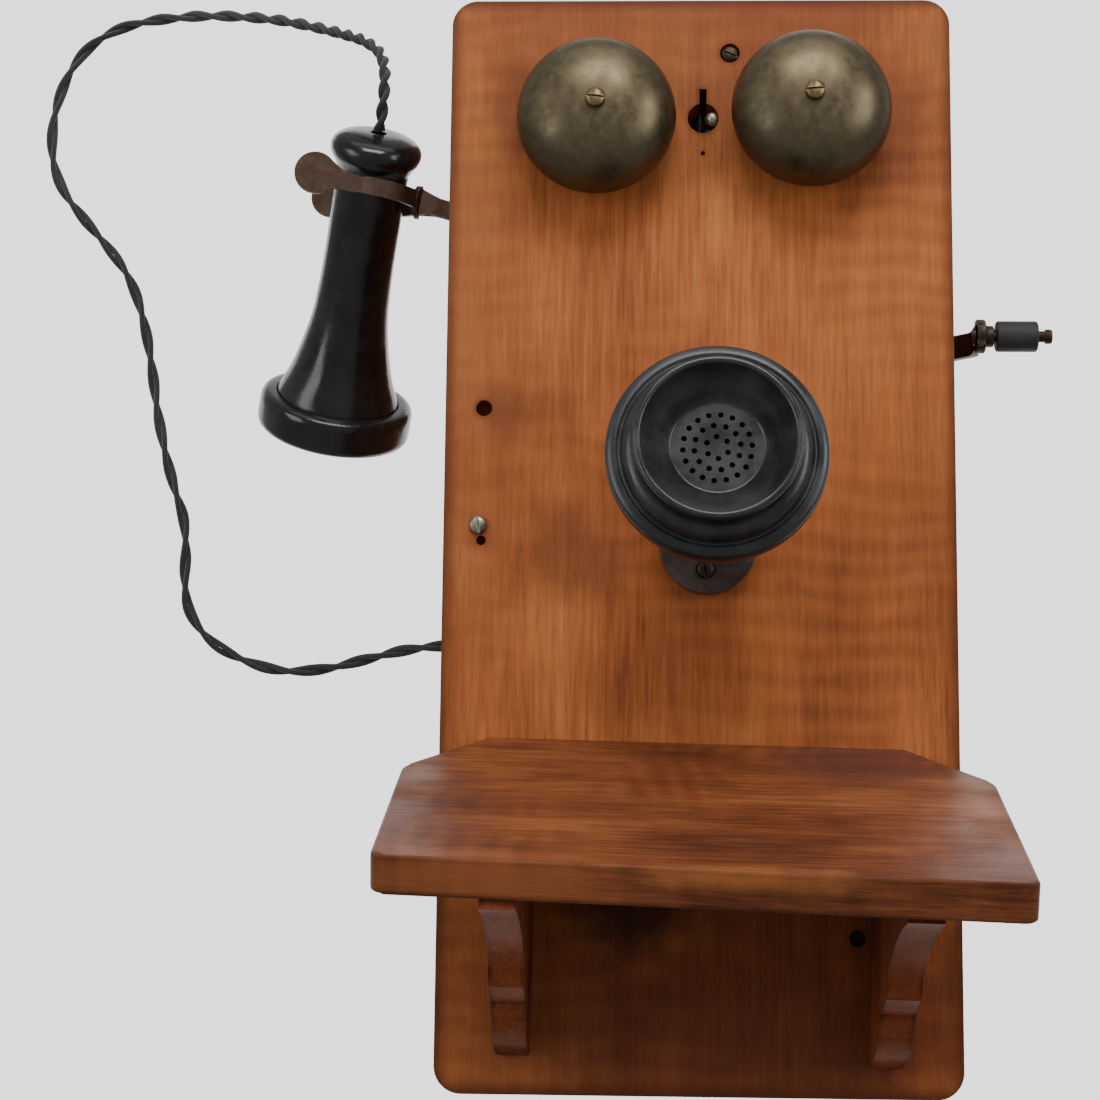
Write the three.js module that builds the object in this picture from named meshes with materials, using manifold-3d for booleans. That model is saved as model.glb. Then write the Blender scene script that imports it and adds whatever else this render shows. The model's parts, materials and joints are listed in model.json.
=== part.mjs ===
// Wall crank telephone: an oak cabinet with a hinged door, two gongs, a transmitter,
// a writing shelf, a receiver on a hook switch and a hand-cranked magneto.
// Millimetres, +Z up. The wall is the plane y = 0 and the front faces -Y.
import * as THREE from 'three';
import { mergeVertices } from 'three/addons/utils/BufferGeometryUtils.js';
import Module from 'manifold-3d';

const wasm = await Module();
wasm.setup();

// ---------------------------------------------------------------- driving dimensions
const GAP = 0.3; // clearance between pieces that touch
const DOOR = { width: 210, height: 455, front: -120, back: -102.6, corner: 11, round: 5 };
const CABINET = { halfWidth: 99, halfHeight: 221.5, front: -100, board: 12, back: 10 };
const INNER = CABINET.halfWidth - CABINET.board; // inner face of a side board
const INNER_TOP = CABINET.halfHeight - CABINET.board; // inner face of the top board
const CLOSE = INNER - GAP; // half width of a board fitted between the sides
const HINGE = { x: 102.2, y: -101.3, height: 50, pin: 1, knuckle: 2.3, zs: [165, -165] };
const GONG = { radius: 33.2, rim: -133.5, top: -158, wall: 1.6, left: [-43.3, 171.3], right: [45.8, 174.4] };
const CLAPPER_HOLE = { x: 1.3, z: 175.6, radius: 6.5, notchTop: 188.4 };
const RINGER = { x: 0.5, y: -96, z: 175.3, coilOffset: 10.5, coilRadius: 7.5, coilEnd: -57 };
const CLAPPER_BALL = { x: 4.6, y: -138, z: 168.9, radius: 2.8 };
const SHELF = { slope: 20, roll: 1.2, rearZ: -87.4, thickness: 14.5, half: 114.5, leftDepth: 157, rightDepth: 167.5 };
const BRACKET = { left: -70.9, right: 76.6, width: 13.2 };
const PIVOT = new THREE.Vector3(5.2, -158.2, 13.4); // transmitter pivot
const TRANSMITTER = { tilt: 7, ring: 43, cup: 34, faceAhead: 30 };
const CRANK = { y: -52, z: 88.5, radius: 40, shaft: 4, pin: 2.4 };
const GEAR = { x: 79.5, width: 5, module: 1.25, teeth: 40, pinionTeeth: 10, play: 0.5 };
const MAGNETS = { y: -52, halfWidth: 31, leg: 9, foot: 40, top: 117, width: 12, first: 31, pitch: 13.5, count: 3 };
const NECK = new THREE.Vector3(-142.5, -88, 152.4); // receiver neck, in the middle of the fork
const RECEIVER_AXIS = new THREE.Vector3(0.188, -0.528, 0.828).normalize(); // ear cap to head
const FORK = {
  centre: new THREE.Vector3(-142.4, -87.7, 151.6),
  slope: 8, roll: 5, flare: 8.5, gap: 20.7, strap: 1.8, halfHeight: 3.7, reach: 21, lobe: 9,
};
const HOOK_ARM = { slope: 16, length: 44.2, halfHeight: 3.9, thickness: 2.6, tail: 9 };
const CORD = { radius: 2.9, sides: 8, steps: 48, exitY: -24, exitZ: -37 };
const DRY_CELL = { radius: 32, height: 152, x: 36, y: -44 };

const FINISHES = {
  oak: { color: 0x9a5223, roughness: 0.5, metalness: 0 },
  shelfWood: { color: 0x86441f, roughness: 0.45, metalness: 0 },
  innerWood: { color: 0xa97b4a, roughness: 0.7, metalness: 0 },
  bakelite: { color: 0x17181a, roughness: 0.25, metalness: 0 },
  agedBrass: { color: 0x6d6142, roughness: 0.4, metalness: 1 },
  copperStrap: { color: 0x5d4637, roughness: 0.45, metalness: 1 },
  blackIron: { color: 0x26221f, roughness: 0.55, metalness: 0.8 },
  steel: { color: 0x8d8b86, roughness: 0.4, metalness: 1 },
  magnetRed: { color: 0x5b2a22, roughness: 0.5, metalness: 0.3 },
  cloth: { color: 0x1d2122, roughness: 0.95, metalness: 0 },
  coilPaper: { color: 0x3a2c2a, roughness: 0.8, metalness: 0 },
  card: { color: 0x7b6a4d, roughness: 0.9, metalness: 0 },
};

// ---------------------------------------------------------------- solids and booleans
function toSolid(geometry) {
  const bare = geometry.index ? geometry.toNonIndexed() : geometry.clone();
  bare.deleteAttribute('normal');
  bare.deleteAttribute('uv');
  const merged = mergeVertices(bare, 1e-4);
  return new wasm.Manifold(new wasm.Mesh({
    numProp: 3,
    vertProperties: merged.attributes.position.array,
    triVerts: new Uint32Array(merged.index.array),
  }));
}

function toGeometry(solid) {
  const mesh = solid.getMesh();
  const geometry = new THREE.BufferGeometry();
  geometry.setAttribute('position', new THREE.BufferAttribute(mesh.vertProperties, 3));
  geometry.setIndex(new THREE.BufferAttribute(mesh.triVerts, 1));
  const flat = geometry.toNonIndexed();
  flat.computeVertexNormals();
  return flat;
}

function join(first, ...others) {
  return toGeometry(others.reduce((sum, one) => sum.add(toSolid(one)), toSolid(first)));
}

function cut(base, ...tools) {
  return toGeometry(tools.reduce((rest, tool) => rest.subtract(toSolid(tool)), toSolid(base)));
}

function overlap(first, second) {
  return toGeometry(toSolid(first).intersect(toSolid(second)));
}

// ---------------------------------------------------------------- basic shapes
function box(x0, x1, y0, y1, z0, z1) {
  const geometry = new THREE.BoxGeometry(Math.abs(x1 - x0), Math.abs(y1 - y0), Math.abs(z1 - z0));
  return geometry.translate((x0 + x1) / 2, (y0 + y1) / 2, (z0 + z1) / 2);
}

// A round bar along X, Y or Z from one coordinate to another; centre holds the other two.
function bar(axis, radius, from, to, centre, sides = 16, endRadius = radius) {
  const geometry = new THREE.CylinderGeometry(endRadius, radius, to - from, sides);
  const middle = (from + to) / 2;
  if (axis === 'x') {
    return geometry.rotateZ(-Math.PI / 2).translate(middle, centre[0], centre[1]);
  }
  if (axis === 'z') {
    return geometry.rotateX(Math.PI / 2).translate(centre[0], centre[1], middle);
  }
  return geometry.translate(centre[0], middle, centre[1]);
}

// A turned piece about +Y from [radius, height] points; a profile off the axis closes on itself.
function turned(points, sides = 32) {
  const closed = points.map(([radius, height]) => new THREE.Vector2(radius, height));
  if (points[0][0] > 0) {
    closed.push(closed[0].clone());
  }
  if (THREE.ShapeUtils.area(closed) < 0) {
    closed.reverse();
  }
  return new THREE.LatheGeometry(closed, sides);
}

function outline(points) {
  return new THREE.Shape(points.map(([x, y]) => new THREE.Vector2(x, y)));
}

function roundedOutline(x0, x1, y0, y1, radius) {
  const shape = new THREE.Shape();
  shape.moveTo(x0 + radius, y0);
  shape.lineTo(x1 - radius, y0);
  shape.absarc(x1 - radius, y0 + radius, radius, -Math.PI / 2, 0);
  shape.lineTo(x1, y1 - radius);
  shape.absarc(x1 - radius, y1 - radius, radius, 0, Math.PI / 2);
  shape.lineTo(x0 + radius, y1);
  shape.absarc(x0 + radius, y1 - radius, radius, Math.PI / 2, Math.PI);
  shape.lineTo(x0, y0 + radius);
  shape.absarc(x0 + radius, y0 + radius, radius, Math.PI, Math.PI * 1.5);
  return shape;
}

// A front-view outline (x, z) made into a plate from y = back towards the front.
function frontPlate(shape, thickness, back, options = {}) {
  const settings = { depth: thickness, bevelEnabled: false, curveSegments: 5, ...options };
  return new THREE.ExtrudeGeometry(shape, settings).rotateX(Math.PI / 2).translate(0, back, 0);
}

// A side-view outline (y, z) made into a plate from x = from towards +X.
function sidePlate(shape, width, from, options = {}) {
  const settings = { depth: width, bevelEnabled: false, curveSegments: 6, ...options };
  const turn = new THREE.Matrix4().makeBasis(
    new THREE.Vector3(0, 1, 0),
    new THREE.Vector3(0, 0, 1),
    new THREE.Vector3(1, 0, 0),
  );
  return new THREE.ExtrudeGeometry(shape, settings).applyMatrix4(turn).translate(from, 0, 0);
}

// A tube of a round section along a smooth curve through the points.
function tube(points, radius, sides, steps) {
  const path = new THREE.CatmullRomCurve3(points.map((point) => new THREE.Vector3(...point)));
  const section = new THREE.Shape();
  for (let side = 0; side < sides; side += 1) {
    const angle = (2 * Math.PI * side) / sides;
    const corner = [radius * Math.cos(angle), radius * Math.sin(angle)];
    section[side ? 'lineTo' : 'moveTo'](...corner);
  }
  return new THREE.ExtrudeGeometry(section, { extrudePath: path, steps, curveSegments: 1 });
}

function mesh(name, geometry, finish) {
  const made = new THREE.Mesh(geometry, new THREE.MeshStandardMaterial(FINISHES[finish]));
  made.name = name;
  return made;
}

function group(...children) {
  return new THREE.Group().add(...children.flat());
}

// ---------------------------------------------------------------- cabinet boards
function cabinetBoards() {
  const { halfWidth, halfHeight, front, back } = CABINET;
  const hookSlot = box(-halfWidth - 1, -INNER + 1, -90.2, -85.2, 133, 153.5);
  const cordHole = bar('x', 5, -halfWidth - 1, -INNER + 1, [CORD.exitY, CORD.exitZ]);
  const screwHole = bar('y', 3, front - 1, front + 12, [-90.7, 1.5], 12);
  const left = box(-halfWidth, -INNER, front, 0, -halfHeight, halfHeight);
  const crankHole = bar('x', 5.5, INNER - 1, halfWidth + 1, [CRANK.y, CRANK.z]);
  const right = box(INNER, halfWidth, front, 0, -halfHeight, halfHeight);
  let backBoard = box(-CLOSE, CLOSE, -back, 0, -INNER_TOP + GAP, INNER_TOP - GAP);
  for (const x of [-60, 60]) {
    for (const z of [-190, 190]) {
      backBoard = cut(backBoard, bar('y', 2.6, -back - 1, 1, [x, z], 8));
    }
  }
  return group(
    mesh('side_board_left', cut(left, hookSlot, cordHole, screwHole), 'oak'),
    mesh('side_board_right', cut(right, crankHole), 'oak'),
    mesh('top_board', box(-CLOSE, CLOSE, front, 0, INNER_TOP, halfHeight), 'oak'),
    mesh('bottom_board', box(-CLOSE, CLOSE, front, 0, -halfHeight, -INNER_TOP), 'oak'),
    mesh('back_board', backBoard, 'innerWood'),
    mesh('generator_shelf', box(-CLOSE, CLOSE, -90, -back - GAP, 24, 34), 'innerWood'),
  );
}

// ---------------------------------------------------------------- hinges
// A leaf is a plate with knuckles at the given heights along the hinge line.
function hingeLeaf(plateBack, plateFront, knuckles, z) {
  const half = HINGE.height / 2;
  let leaf = box(88.5, 99.3, plateBack, plateFront, z - half, z + half);
  for (const [low, high] of knuckles) {
    const tab = box(99.2, HINGE.x, plateBack, plateFront, z + low, z + high);
    const barrel = bar('z', HINGE.knuckle, z + low, z + high, [HINGE.x, HINGE.y], 12);
    leaf = join(leaf, tab, barrel);
  }
  return cut(leaf, bar('z', HINGE.pin + GAP, z - half - 1, z + half + 1, [HINGE.x, HINGE.y], 8));
}

function hingePin(z) {
  const half = HINGE.height / 2;
  const head = HINGE.pin + 0.6;
  const profile = [
    [0, -half - 2], [head, -half - 1.6], [head, -half - GAP], [HINGE.pin, -half - GAP],
    [HINGE.pin, half + GAP], [head, half + GAP], [head, half + 1.6], [0, half + 2],
  ];
  return turned(profile, 8).rotateX(Math.PI / 2).translate(HINGE.x, HINGE.y, z);
}

function hinges(side) {
  const outer = [[-25, -8.5], [8.5, 25]];
  const middle = [[-8.2, 8.2]];
  return HINGE.zs.flatMap((z) => {
    const place = z > 0 ? 'upper' : 'lower';
    if (side === 'door') {
      return [mesh(`hinge_leaf_door_${place}`, hingeLeaf(-102.3, -101.5, middle, z), 'agedBrass')];
    }
    return [
      mesh(`hinge_leaf_cabinet_${place}`, hingeLeaf(-101.1, -100.3, outer, z), 'agedBrass'),
      mesh(`hinge_pin_${place}`, hingePin(z), 'steel'),
    ];
  });
}

// ---------------------------------------------------------------- door
function doorPanel() {
  const { width, height, front, back, corner, round } = DOOR;
  const { notchTop } = CLAPPER_HOLE;
  const shape = roundedOutline(
    -width / 2 + round, width / 2 - round, -height / 2 + round, height / 2 - round, corner - round,
  );
  const bevel = { bevelEnabled: true, bevelThickness: round, bevelSize: round, bevelSegments: 2 };
  const blank = frontPlate(shape, 20, front + round + 20, bevel);
  const slab = box(-width, width, front, back, -height, height);
  const tools = [
    bar('y', CLAPPER_HOLE.radius, front - 1, back + 1, [CLAPPER_HOLE.x, CLAPPER_HOLE.z], 20),
    box(CLAPPER_HOLE.x - 1.5, CLAPPER_HOLE.x + 1.5, front - 1, back + 1, CLAPPER_HOLE.z, notchTop),
    bar('y', 0.9, front - 1, front + 5, [1.3, 160.3], 6),
    bar('y', 4.2, front - 1, front + 2.6, [12.6, 204.2], 14),
    bar('y', 3.4, front - 1, front + 8, [-89, 50.6], 14),
    bar('y', 2.4, front - 1, back + 1, [-90.7, 1.5], 12),
    bar('y', 2, front - 1, front + 6, [-89.4, -4.9], 10),
    bar('y', 3.3, front - 1, front + 10, [63.5, -164.9], 12),
  ];
  for (const z of HINGE.zs) {
    tools.push(box(99.3, width, back + 1, back - 1.8, z - 28, z + 28));
  }
  return cut(overlap(blank, slab), ...tools);
}

// A slotted round-head screw along Y; the head sits in front of y = seat.
function slottedScrew(centre, seat, headRadius, headHeight, shankRadius, shankEnd, slotAngle) {
  const profile = [
    [0, shankEnd], [shankRadius, shankEnd], [shankRadius, seat], [headRadius, seat],
    [headRadius, seat - headHeight * 0.35], [headRadius * 0.75, seat - headHeight * 0.82],
    [0, seat - headHeight],
  ];
  const body = turned(profile, 10);
  const slot = box(-headRadius - 1, headRadius + 1, seat - headHeight - 1, seat - headHeight * 0.45, -0.5, 0.5);
  slot.rotateY(slotAngle);
  return cut(body, slot).translate(centre[0], 0, centre[1]);
}

function gong(name, [x, z]) {
  const height = GONG.rim - GONG.top;
  const dome = (radius, rise) => {
    const points = [];
    for (let step = 0; step <= 6; step += 1) {
      const angle = (Math.PI / 2) * (step / 6);
      const across = Math.cos(angle) ** (2 / 2.3);
      const up = Math.sin(angle) ** (2 / 2.3);
      points.push([Math.max(radius * across, 2.6), rise * up]);
    }
    return points;
  };
  const outer = dome(GONG.radius, height);
  const inner = dome(GONG.radius - GONG.wall, height - GONG.wall).reverse();
  const shell = turned([...outer, ...inner], 28).rotateX(Math.PI).translate(x, GONG.rim, z);
  return mesh(name, shell, 'agedBrass');
}

function gongPost(name, [x, z]) {
  const base = DOOR.front - GAP;
  const tip = GONG.top + GONG.wall + GAP;
  const profile = [
    [0, 0], [9, 0], [9, 2], [5, 3.4], [5, base - tip], [2.4, base - tip],
    [2.4, base - tip - 13], [0, base - tip - 13],
  ];
  return mesh(name, turned(profile, 14).rotateX(Math.PI).translate(x, base, z), 'agedBrass');
}

function gongs() {
  return ['left', 'right'].flatMap((side) => {
    const centre = GONG[side];
    const screw = slottedScrew(centre, GONG.top - GAP, 4.1, 2.6, 2, GONG.top + 11, 0.15);
    return [
      gong(`gong_${side}`, centre),
      gongPost(`gong_post_${side}`, centre),
      mesh(`gong_screw_${side}`, screw, 'agedBrass'),
    ];
  });
}

// ---------------------------------------------------------------- ringer on the back of the door
function ringer() {
  const { x, y, z, coilOffset, coilRadius, coilEnd } = RINGER;
  const seat = DOOR.back + GAP;
  const plate = box(x - 24, x + 25, seat, seat + 1.7, z - 17, z + 17);
  const window = box(x - 13, x + 14, seat - 1, seat + 3, z - 9.5, z + 9.5);
  const arms = [[x - 24, x - 21.5], [x + 22.5, x + 25]].map(([from, to]) => (
    box(from, to, seat + 1, coilEnd + 4.3, z - 7, z + 7)
  ));
  const yoke = box(x - 24, x + 25, coilEnd + GAP, coilEnd + 4.3, z - 7, z + 7);
  const lugs = [z - 15, z + 12].map((low) => box(x - 4, x + 4, seat + 1, y + 3, low, low + 3));
  const pivot = bar('z', 1.2, z - 14, z + 14, [x, y], 10);
  const frame = join(cut(plate, window), ...arms, yoke, ...lugs, pivot);
  const coils = [-1, 1].map((side) => {
    const profile = [
      [0, -90.6], [3, -90.6], [3, -88], [coilRadius, -88], [coilRadius, coilEnd], [0, coilEnd],
    ];
    const coil = turned(profile, 16).translate(x + side * coilOffset, 0, z);
    return mesh(`ringer_coil_${side < 0 ? 'left' : 'right'}`, coil, 'coilPaper');
  });
  const screw = slottedScrew([12.6, 204.2], DOOR.front + 2.2, 3.8, 2, 0, DOOR.front + 2.2, 0.4);
  const lockScrew = slottedScrew([-90.7, 1.5], DOOR.front - GAP, 3.7, 2.2, 1.9, -92, 1.45);
  return group(
    mesh('ringer_frame', frame, 'blackIron'),
    coils,
    mesh('top_plug_screw', screw, 'blackIron'),
    mesh('door_lock_screw', lockScrew, 'steel'),
  );
}

// The clapper rocks about an upright axle just behind the door, and its rod comes out
// through the round hole, so the ball swings from one gong to the other.
function clapper() {
  const { x, y, z } = RINGER;
  const ball = CLAPPER_BALL;
  const lean = (ball.x - x) / (y - ball.y);
  const along = (at) => x + lean * (y - at);
  const armature = box(x - 11.5, x + 11.5, y - 1.5, y + 1.5, z - 3.5, z + 3.5);
  const hub = bar('z', 3, z - 11.5, z + 11.5, [x, y], 12);
  const route = [
    [along(-97), -97, z], [along(-108), -108, z], [along(-121), -121, z - 0.2],
    [along(-130), -130, z - 1.8], [along(-135), -135, z - 4], [ball.x, ball.y, ball.z],
  ];
  const tip = new THREE.SphereGeometry(ball.radius, 12, 6).translate(ball.x, ball.y, ball.z);
  const whole = join(armature, hub, tube(route, 0.8, 6, 12), tip);
  return mesh('clapper', cut(whole, bar('z', 1.5, z - 14, z + 14, [x, y], 10)), 'steel');
}

// ---------------------------------------------------------------- writing shelf and brackets
function writingShelf() {
  const slope = THREE.MathUtils.degToRad(SHELF.slope);
  const rear = DOOR.front - GAP;
  const { half, leftDepth, rightDepth, thickness } = SHELF;
  const shape = outline([
    [-84, 0], [84, 0], [half - 2, 44], [half, 47], [half, leftDepth - 5], [half - 1.5, leftDepth - 1.5],
    [half - 5, leftDepth], [5 - half, rightDepth], [1.5 - half, rightDepth - 1.5], [-half, rightDepth - 5],
    [-half, 47], [2 - half, 44],
  ]);
  const edge = { depth: thickness - 3, bevelEnabled: true, bevelThickness: 1.5, bevelSize: 1.5 };
  const rounded = { ...edge, bevelOffset: -1.5, bevelSegments: 2 };
  const board = new THREE.ExtrudeGeometry(shape, rounded).translate(0, 0, 1.5 - thickness);
  board.rotateZ(Math.PI).rotateX(slope).translate(-1, rear, SHELF.rearZ);
  const clear = box(-half - 9, half + 9, rear, 0, -130, 0);
  const under = (y) => SHELF.rearZ + Math.tan(slope) * (y - rear) - thickness / Math.cos(slope) - GAP;
  const side = new THREE.Shape();
  side.moveTo(rear, under(rear));
  side.lineTo(-262, under(-262));
  side.lineTo(-263, under(-262) - 4);
  side.quadraticCurveTo(-243, -160, -224, -165);
  side.quadraticCurveTo(-199, -171, -190, -181);
  side.lineTo(-187, -186);
  side.lineTo(-167, -192);
  side.quadraticCurveTo(-161, -204, -146, -208);
  side.quadraticCurveTo(-132, -211, -124, -213.5);
  side.lineTo(rear, -213.5);
  const pivot = new THREE.Group();
  pivot.position.z = SHELF.rearZ;
  pivot.rotation.y = THREE.MathUtils.degToRad(SHELF.roll);
  pivot.add(mesh('shelf_board', cut(board, clear), 'shelfWood'));
  for (const place of ['left', 'right']) {
    const from = BRACKET[place] - BRACKET.width / 2;
    pivot.add(mesh(`shelf_bracket_${place}`, sidePlate(side, BRACKET.width, from), 'shelfWood'));
  }
  pivot.children.forEach((piece) => piece.geometry.translate(0, 0, -SHELF.rearZ));
  return pivot;
}

// ---------------------------------------------------------------- transmitter
function transmitterFoot() {
  const x = 3.5;
  const shape = new THREE.Shape();
  shape.absarc(x, 26, 16.7, 0, Math.PI);
  shape.absarc(x, -7.3, 16.7, Math.PI, 2 * Math.PI);
  const bevel = { bevelEnabled: true, bevelThickness: 2, bevelSize: 3, bevelSegments: 1, curveSegments: 8 };
  const base = frontPlate(shape, 5, DOOR.front + 2.7, bevel);
  const plate = overlap(base, box(-30, 40, DOOR.front - 10, DOOR.front - GAP, -40, 60));
  const neck = bar('y', 8, 0, 28, [0, 0], 16, 12).rotateX(-0.17).translate(x, PIVOT.y + 10, 14);
  const lug = join(
    bar('x', 5, PIVOT.x - 4, PIVOT.x + 4, [PIVOT.y, PIVOT.z], 16),
    box(PIVOT.x - 4, PIVOT.x + 4, PIVOT.y, PIVOT.y + 14, PIVOT.z - 5, PIVOT.z + 5),
  );
  const clear = box(-30, 40, DOOR.front - GAP, DOOR.front + 40, -40, 60);
  const bore = bar('x', 2.8, PIVOT.x - 9, PIVOT.x + 9, [PIVOT.y, PIVOT.z], 12);
  const holes = [-17.3, 36].map((z) => bar('y', 2.3, -140, -110, [2.5, z], 12));
  return cut(join(plate, neck, lug), clear, bore, ...holes);
}

function transmitterMount() {
  return group(
    mesh('transmitter_foot', transmitterFoot(), 'bakelite'),
    ['lower', 'upper'].map((place, index) => {
      const z = [-17.3, 36][index];
      const screw = slottedScrew([2.5, z], -125.6, 3.6, 2, 1.9, -121, 1.3);
      return mesh(`foot_screw_${place}`, screw, 'blackIron');
    }),
  );
}

// The transmitter is drawn about +Y with s = 0 on the back of its faceplate, then tilted.
function transmitter() {
  const cupProfile = [
    [0, -24], [20, -24], [27, -22], [31.5, -18], [33.6, -12], [34, -GAP],
    [31.4, -GAP], [31, -12], [28, -18], [20, -21.6], [0, -21.6],
  ];
  const earFor = (side) => {
    const low = side < 0 ? -8.8 : 4.4;
    const ear = bar('x', 5, low, low + 4.4, [-TRANSMITTER.faceAhead, 0], 16);
    const web = box(low, low + 4.4, -TRANSMITTER.faceAhead, -23, -5, 5);
    return join(ear, web);
  };
  let cup = join(turned(cupProfile, 28), earFor(-1), earFor(1));
  cup = cut(cup, bar('x', 2.8, -12, 12, [-TRANSMITTER.faceAhead, 0], 12));
  const faceplate = turned([
    [26, 0], [41.4, 0], [TRANSMITTER.ring, 1.5], [TRANSMITTER.ring, 6], [41.4, 8.2], [38.8, 8.9],
    [37.4, 8.1], [35.4, 12], [31.4, 13.6], [26, 13.4],
  ], 34);
  const rings = [[4.4, 6], [8.9, 12], [13.2, 18]];
  const perforations = rings.flatMap(([radius, count]) => Array.from({ length: count }, (_, index) => {
    const angle = (2 * Math.PI * index) / count;
    return bar('y', 1.3, 7, 12, [radius * Math.cos(angle), radius * Math.sin(angle)], 4);
  }));
  const mouthpiece = cut(turned([
    [0, 10.8], [18, 10.9], [20.6, 13.2], [25, 18], [29.4, 24], [30.8, 25.2], [32.6, 24.4],
    [32.2, 21.4], [28, 16], [25.7, 13.8], [25.7, 2], [22.4, 2], [22.4, 8.4], [0, 8.4],
  ], 30), ...perforations);
  const capsule = turned([[0, -18], [19, -18], [19, -8], [10, -6.5], [10, -4], [0, -4]], 16);
  const pin = turned([[0, -10.6], [3.6, -10.4], [3.6, -9.1], [2.5, -9.1], [2.5, 10.4], [0, 10.4]], 14);
  pin.rotateZ(-Math.PI / 2).translate(0, -TRANSMITTER.faceAhead, 0);
  const holder = group(
    mesh('transmitter_cup', cup, 'bakelite'),
    mesh('transmitter_faceplate', faceplate, 'bakelite'),
    mesh('transmitter_mouthpiece', mouthpiece, 'bakelite'),
    mesh('transmitter_capsule', capsule, 'agedBrass'),
    mesh('transmitter_pivot_pin', pin, 'steel'),
  );
  holder.children.forEach((piece) => piece.geometry.translate(0, TRANSMITTER.faceAhead, 0));
  holder.rotation.x = Math.PI - THREE.MathUtils.degToRad(TRANSMITTER.tilt);
  holder.position.copy(PIVOT);
  return holder;
}

// ---------------------------------------------------------------- magneto and crank
function toothedOutline(teeth, phase) {
  const { module } = GEAR;
  const pitch = (module * teeth) / 2;
  const points = [];
  for (let tooth = 0; tooth < teeth; tooth += 1) {
    const middle = phase + (2 * Math.PI * tooth) / teeth;
    const corners = [[pitch - 1.5, -1.15], [pitch + 1, -0.5], [pitch + 1, 0.5], [pitch - 1.5, 1.15]];
    for (const [radius, along] of corners) {
      const angle = middle + along / pitch;
      points.push([CRANK.y + radius * Math.cos(angle), radius * Math.sin(angle)]);
    }
  }
  return outline(points);
}

function magnetoFixedParts() {
  const { y, halfWidth, leg, foot, top, width, first, pitch, count } = MAGNETS;
  const innerHalf = halfWidth - leg;
  const horseshoe = new THREE.Shape();
  horseshoe.moveTo(y - halfWidth, foot);
  horseshoe.lineTo(y - innerHalf, foot);
  horseshoe.lineTo(y - innerHalf, top - halfWidth);
  horseshoe.absarc(y, top - halfWidth, innerHalf, Math.PI, 0, true);
  horseshoe.lineTo(y + innerHalf, foot);
  horseshoe.lineTo(y + halfWidth, foot);
  horseshoe.lineTo(y + halfWidth, top - halfWidth);
  horseshoe.absarc(y, top - halfWidth, halfWidth, 0, Math.PI, false);
  const magnets = Array.from({ length: count }, (_, index) => {
    const bow = sidePlate(horseshoe, width, first + index * pitch);
    return mesh(`magneto_magnet_${index + 1}`, bow, 'magnetRed');
  });
  const armatureZ = CRANK.z - armatureDrop();
  const plates = [['inner', 26.5], ['outer', 72.2]].map(([place, x]) => {
    const blank = box(x, x + 3.5, y - halfWidth, y + halfWidth, 34.3, 103);
    const crankBore = bar('x', CRANK.shaft + GAP, x - 1, x + 5, [CRANK.y, CRANK.z], 16);
    const armatureBore = bar('x', 3 + GAP, x - 1, x + 5, [CRANK.y, armatureZ], 16);
    return mesh(`magneto_end_plate_${place}`, cut(blank, crankBore, armatureBore), 'agedBrass');
  });
  return group(magnets, plates);
}

function armatureDrop() {
  return (GEAR.module * (GEAR.teeth + GEAR.pinionTeeth)) / 2 + GEAR.play;
}

function magnetoArmature() {
  const z = CRANK.z - armatureDrop();
  const centre = [CRANK.y, z];
  const pinion = sidePlate(toothedOutline(GEAR.pinionTeeth, Math.PI / 2), GEAR.width, GEAR.x);
  pinion.translate(0, 0, z);
  const core = bar('x', 11, 31, 71, centre, 16);
  const flats = [-1, 1].map((side) => box(30, 73, CRANK.y + side * 7, CRANK.y + side * 14, z - 6, z + 6));
  const shaft = bar('x', 3, 25, GEAR.x + GEAR.width, centre, 12);
  return mesh('magneto_armature', join(cut(core, ...flats), shaft, pinion), 'steel');
}

function crank() {
  const centre = [CRANK.y, CRANK.z];
  const shaft = bar('x', CRANK.shaft, 22, 106.5, centre, 16);
  const disc = sidePlate(toothedOutline(GEAR.teeth, Math.PI / 2 + Math.PI / GEAR.teeth), GEAR.width, GEAR.x);
  disc.translate(0, 0, CRANK.z);
  const shaftBore = bar('x', CRANK.shaft + GAP, GEAR.x - 1, GEAR.x + 6, centre, 16);
  const pinY = CRANK.y - CRANK.radius;
  // The arm is one strap bent twice, so that its end clears the edge of the door.
  const strap = outline([
    [100.5, CRANK.y + 7], [103.5, CRANK.y + 7], [103.5, -61], [120.6, -76], [120.6, pinY - 7],
    [117.6, pinY - 7], [117.6, -77.5], [100.5, -62.5],
  ]);
  const flat = new THREE.ExtrudeGeometry(strap, { depth: 10.5, bevelEnabled: false });
  flat.translate(0, 0, CRANK.z - 5.25);
  const hub = bar('x', 7, 99.6, 104.5, centre, 16);
  const eye = bar('x', 7.3, 117.6, 121.7, [pinY, CRANK.z], 14);
  const bores = [
    bar('x', CRANK.shaft + GAP, 90, 110, centre, 16),
    bar('x', CRANK.pin + GAP, 110, 130, [pinY, CRANK.z], 12),
  ];
  const pin = turned([
    [0, 116.4], [4, 116.4], [4, 117.3], [CRANK.pin, 117.3], [CRANK.pin, 146.8], [3.1, 147.2],
    [3.1, 149.4], [2.4, 150], [0, 150],
  ], 10).rotateZ(-Math.PI / 2).translate(0, pinY, CRANK.z);
  const grip = turned([
    [2.8, 126], [6, 126], [6.6, 126.6], [6.6, 143.1], [6, 143.7], [2.8, 143.7],
  ], 16).rotateZ(-Math.PI / 2).translate(0, pinY, CRANK.z);
  return group(
    mesh('crank_shaft', shaft, 'steel'),
    mesh('drive_gear', cut(disc, shaftBore), 'agedBrass'),
    mesh('crank_arm', cut(join(flat, hub, eye), ...bores), 'blackIron'),
    mesh('crank_pin', pin, 'blackIron'),
    mesh('crank_grip', grip, 'bakelite'),
  );
}

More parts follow.
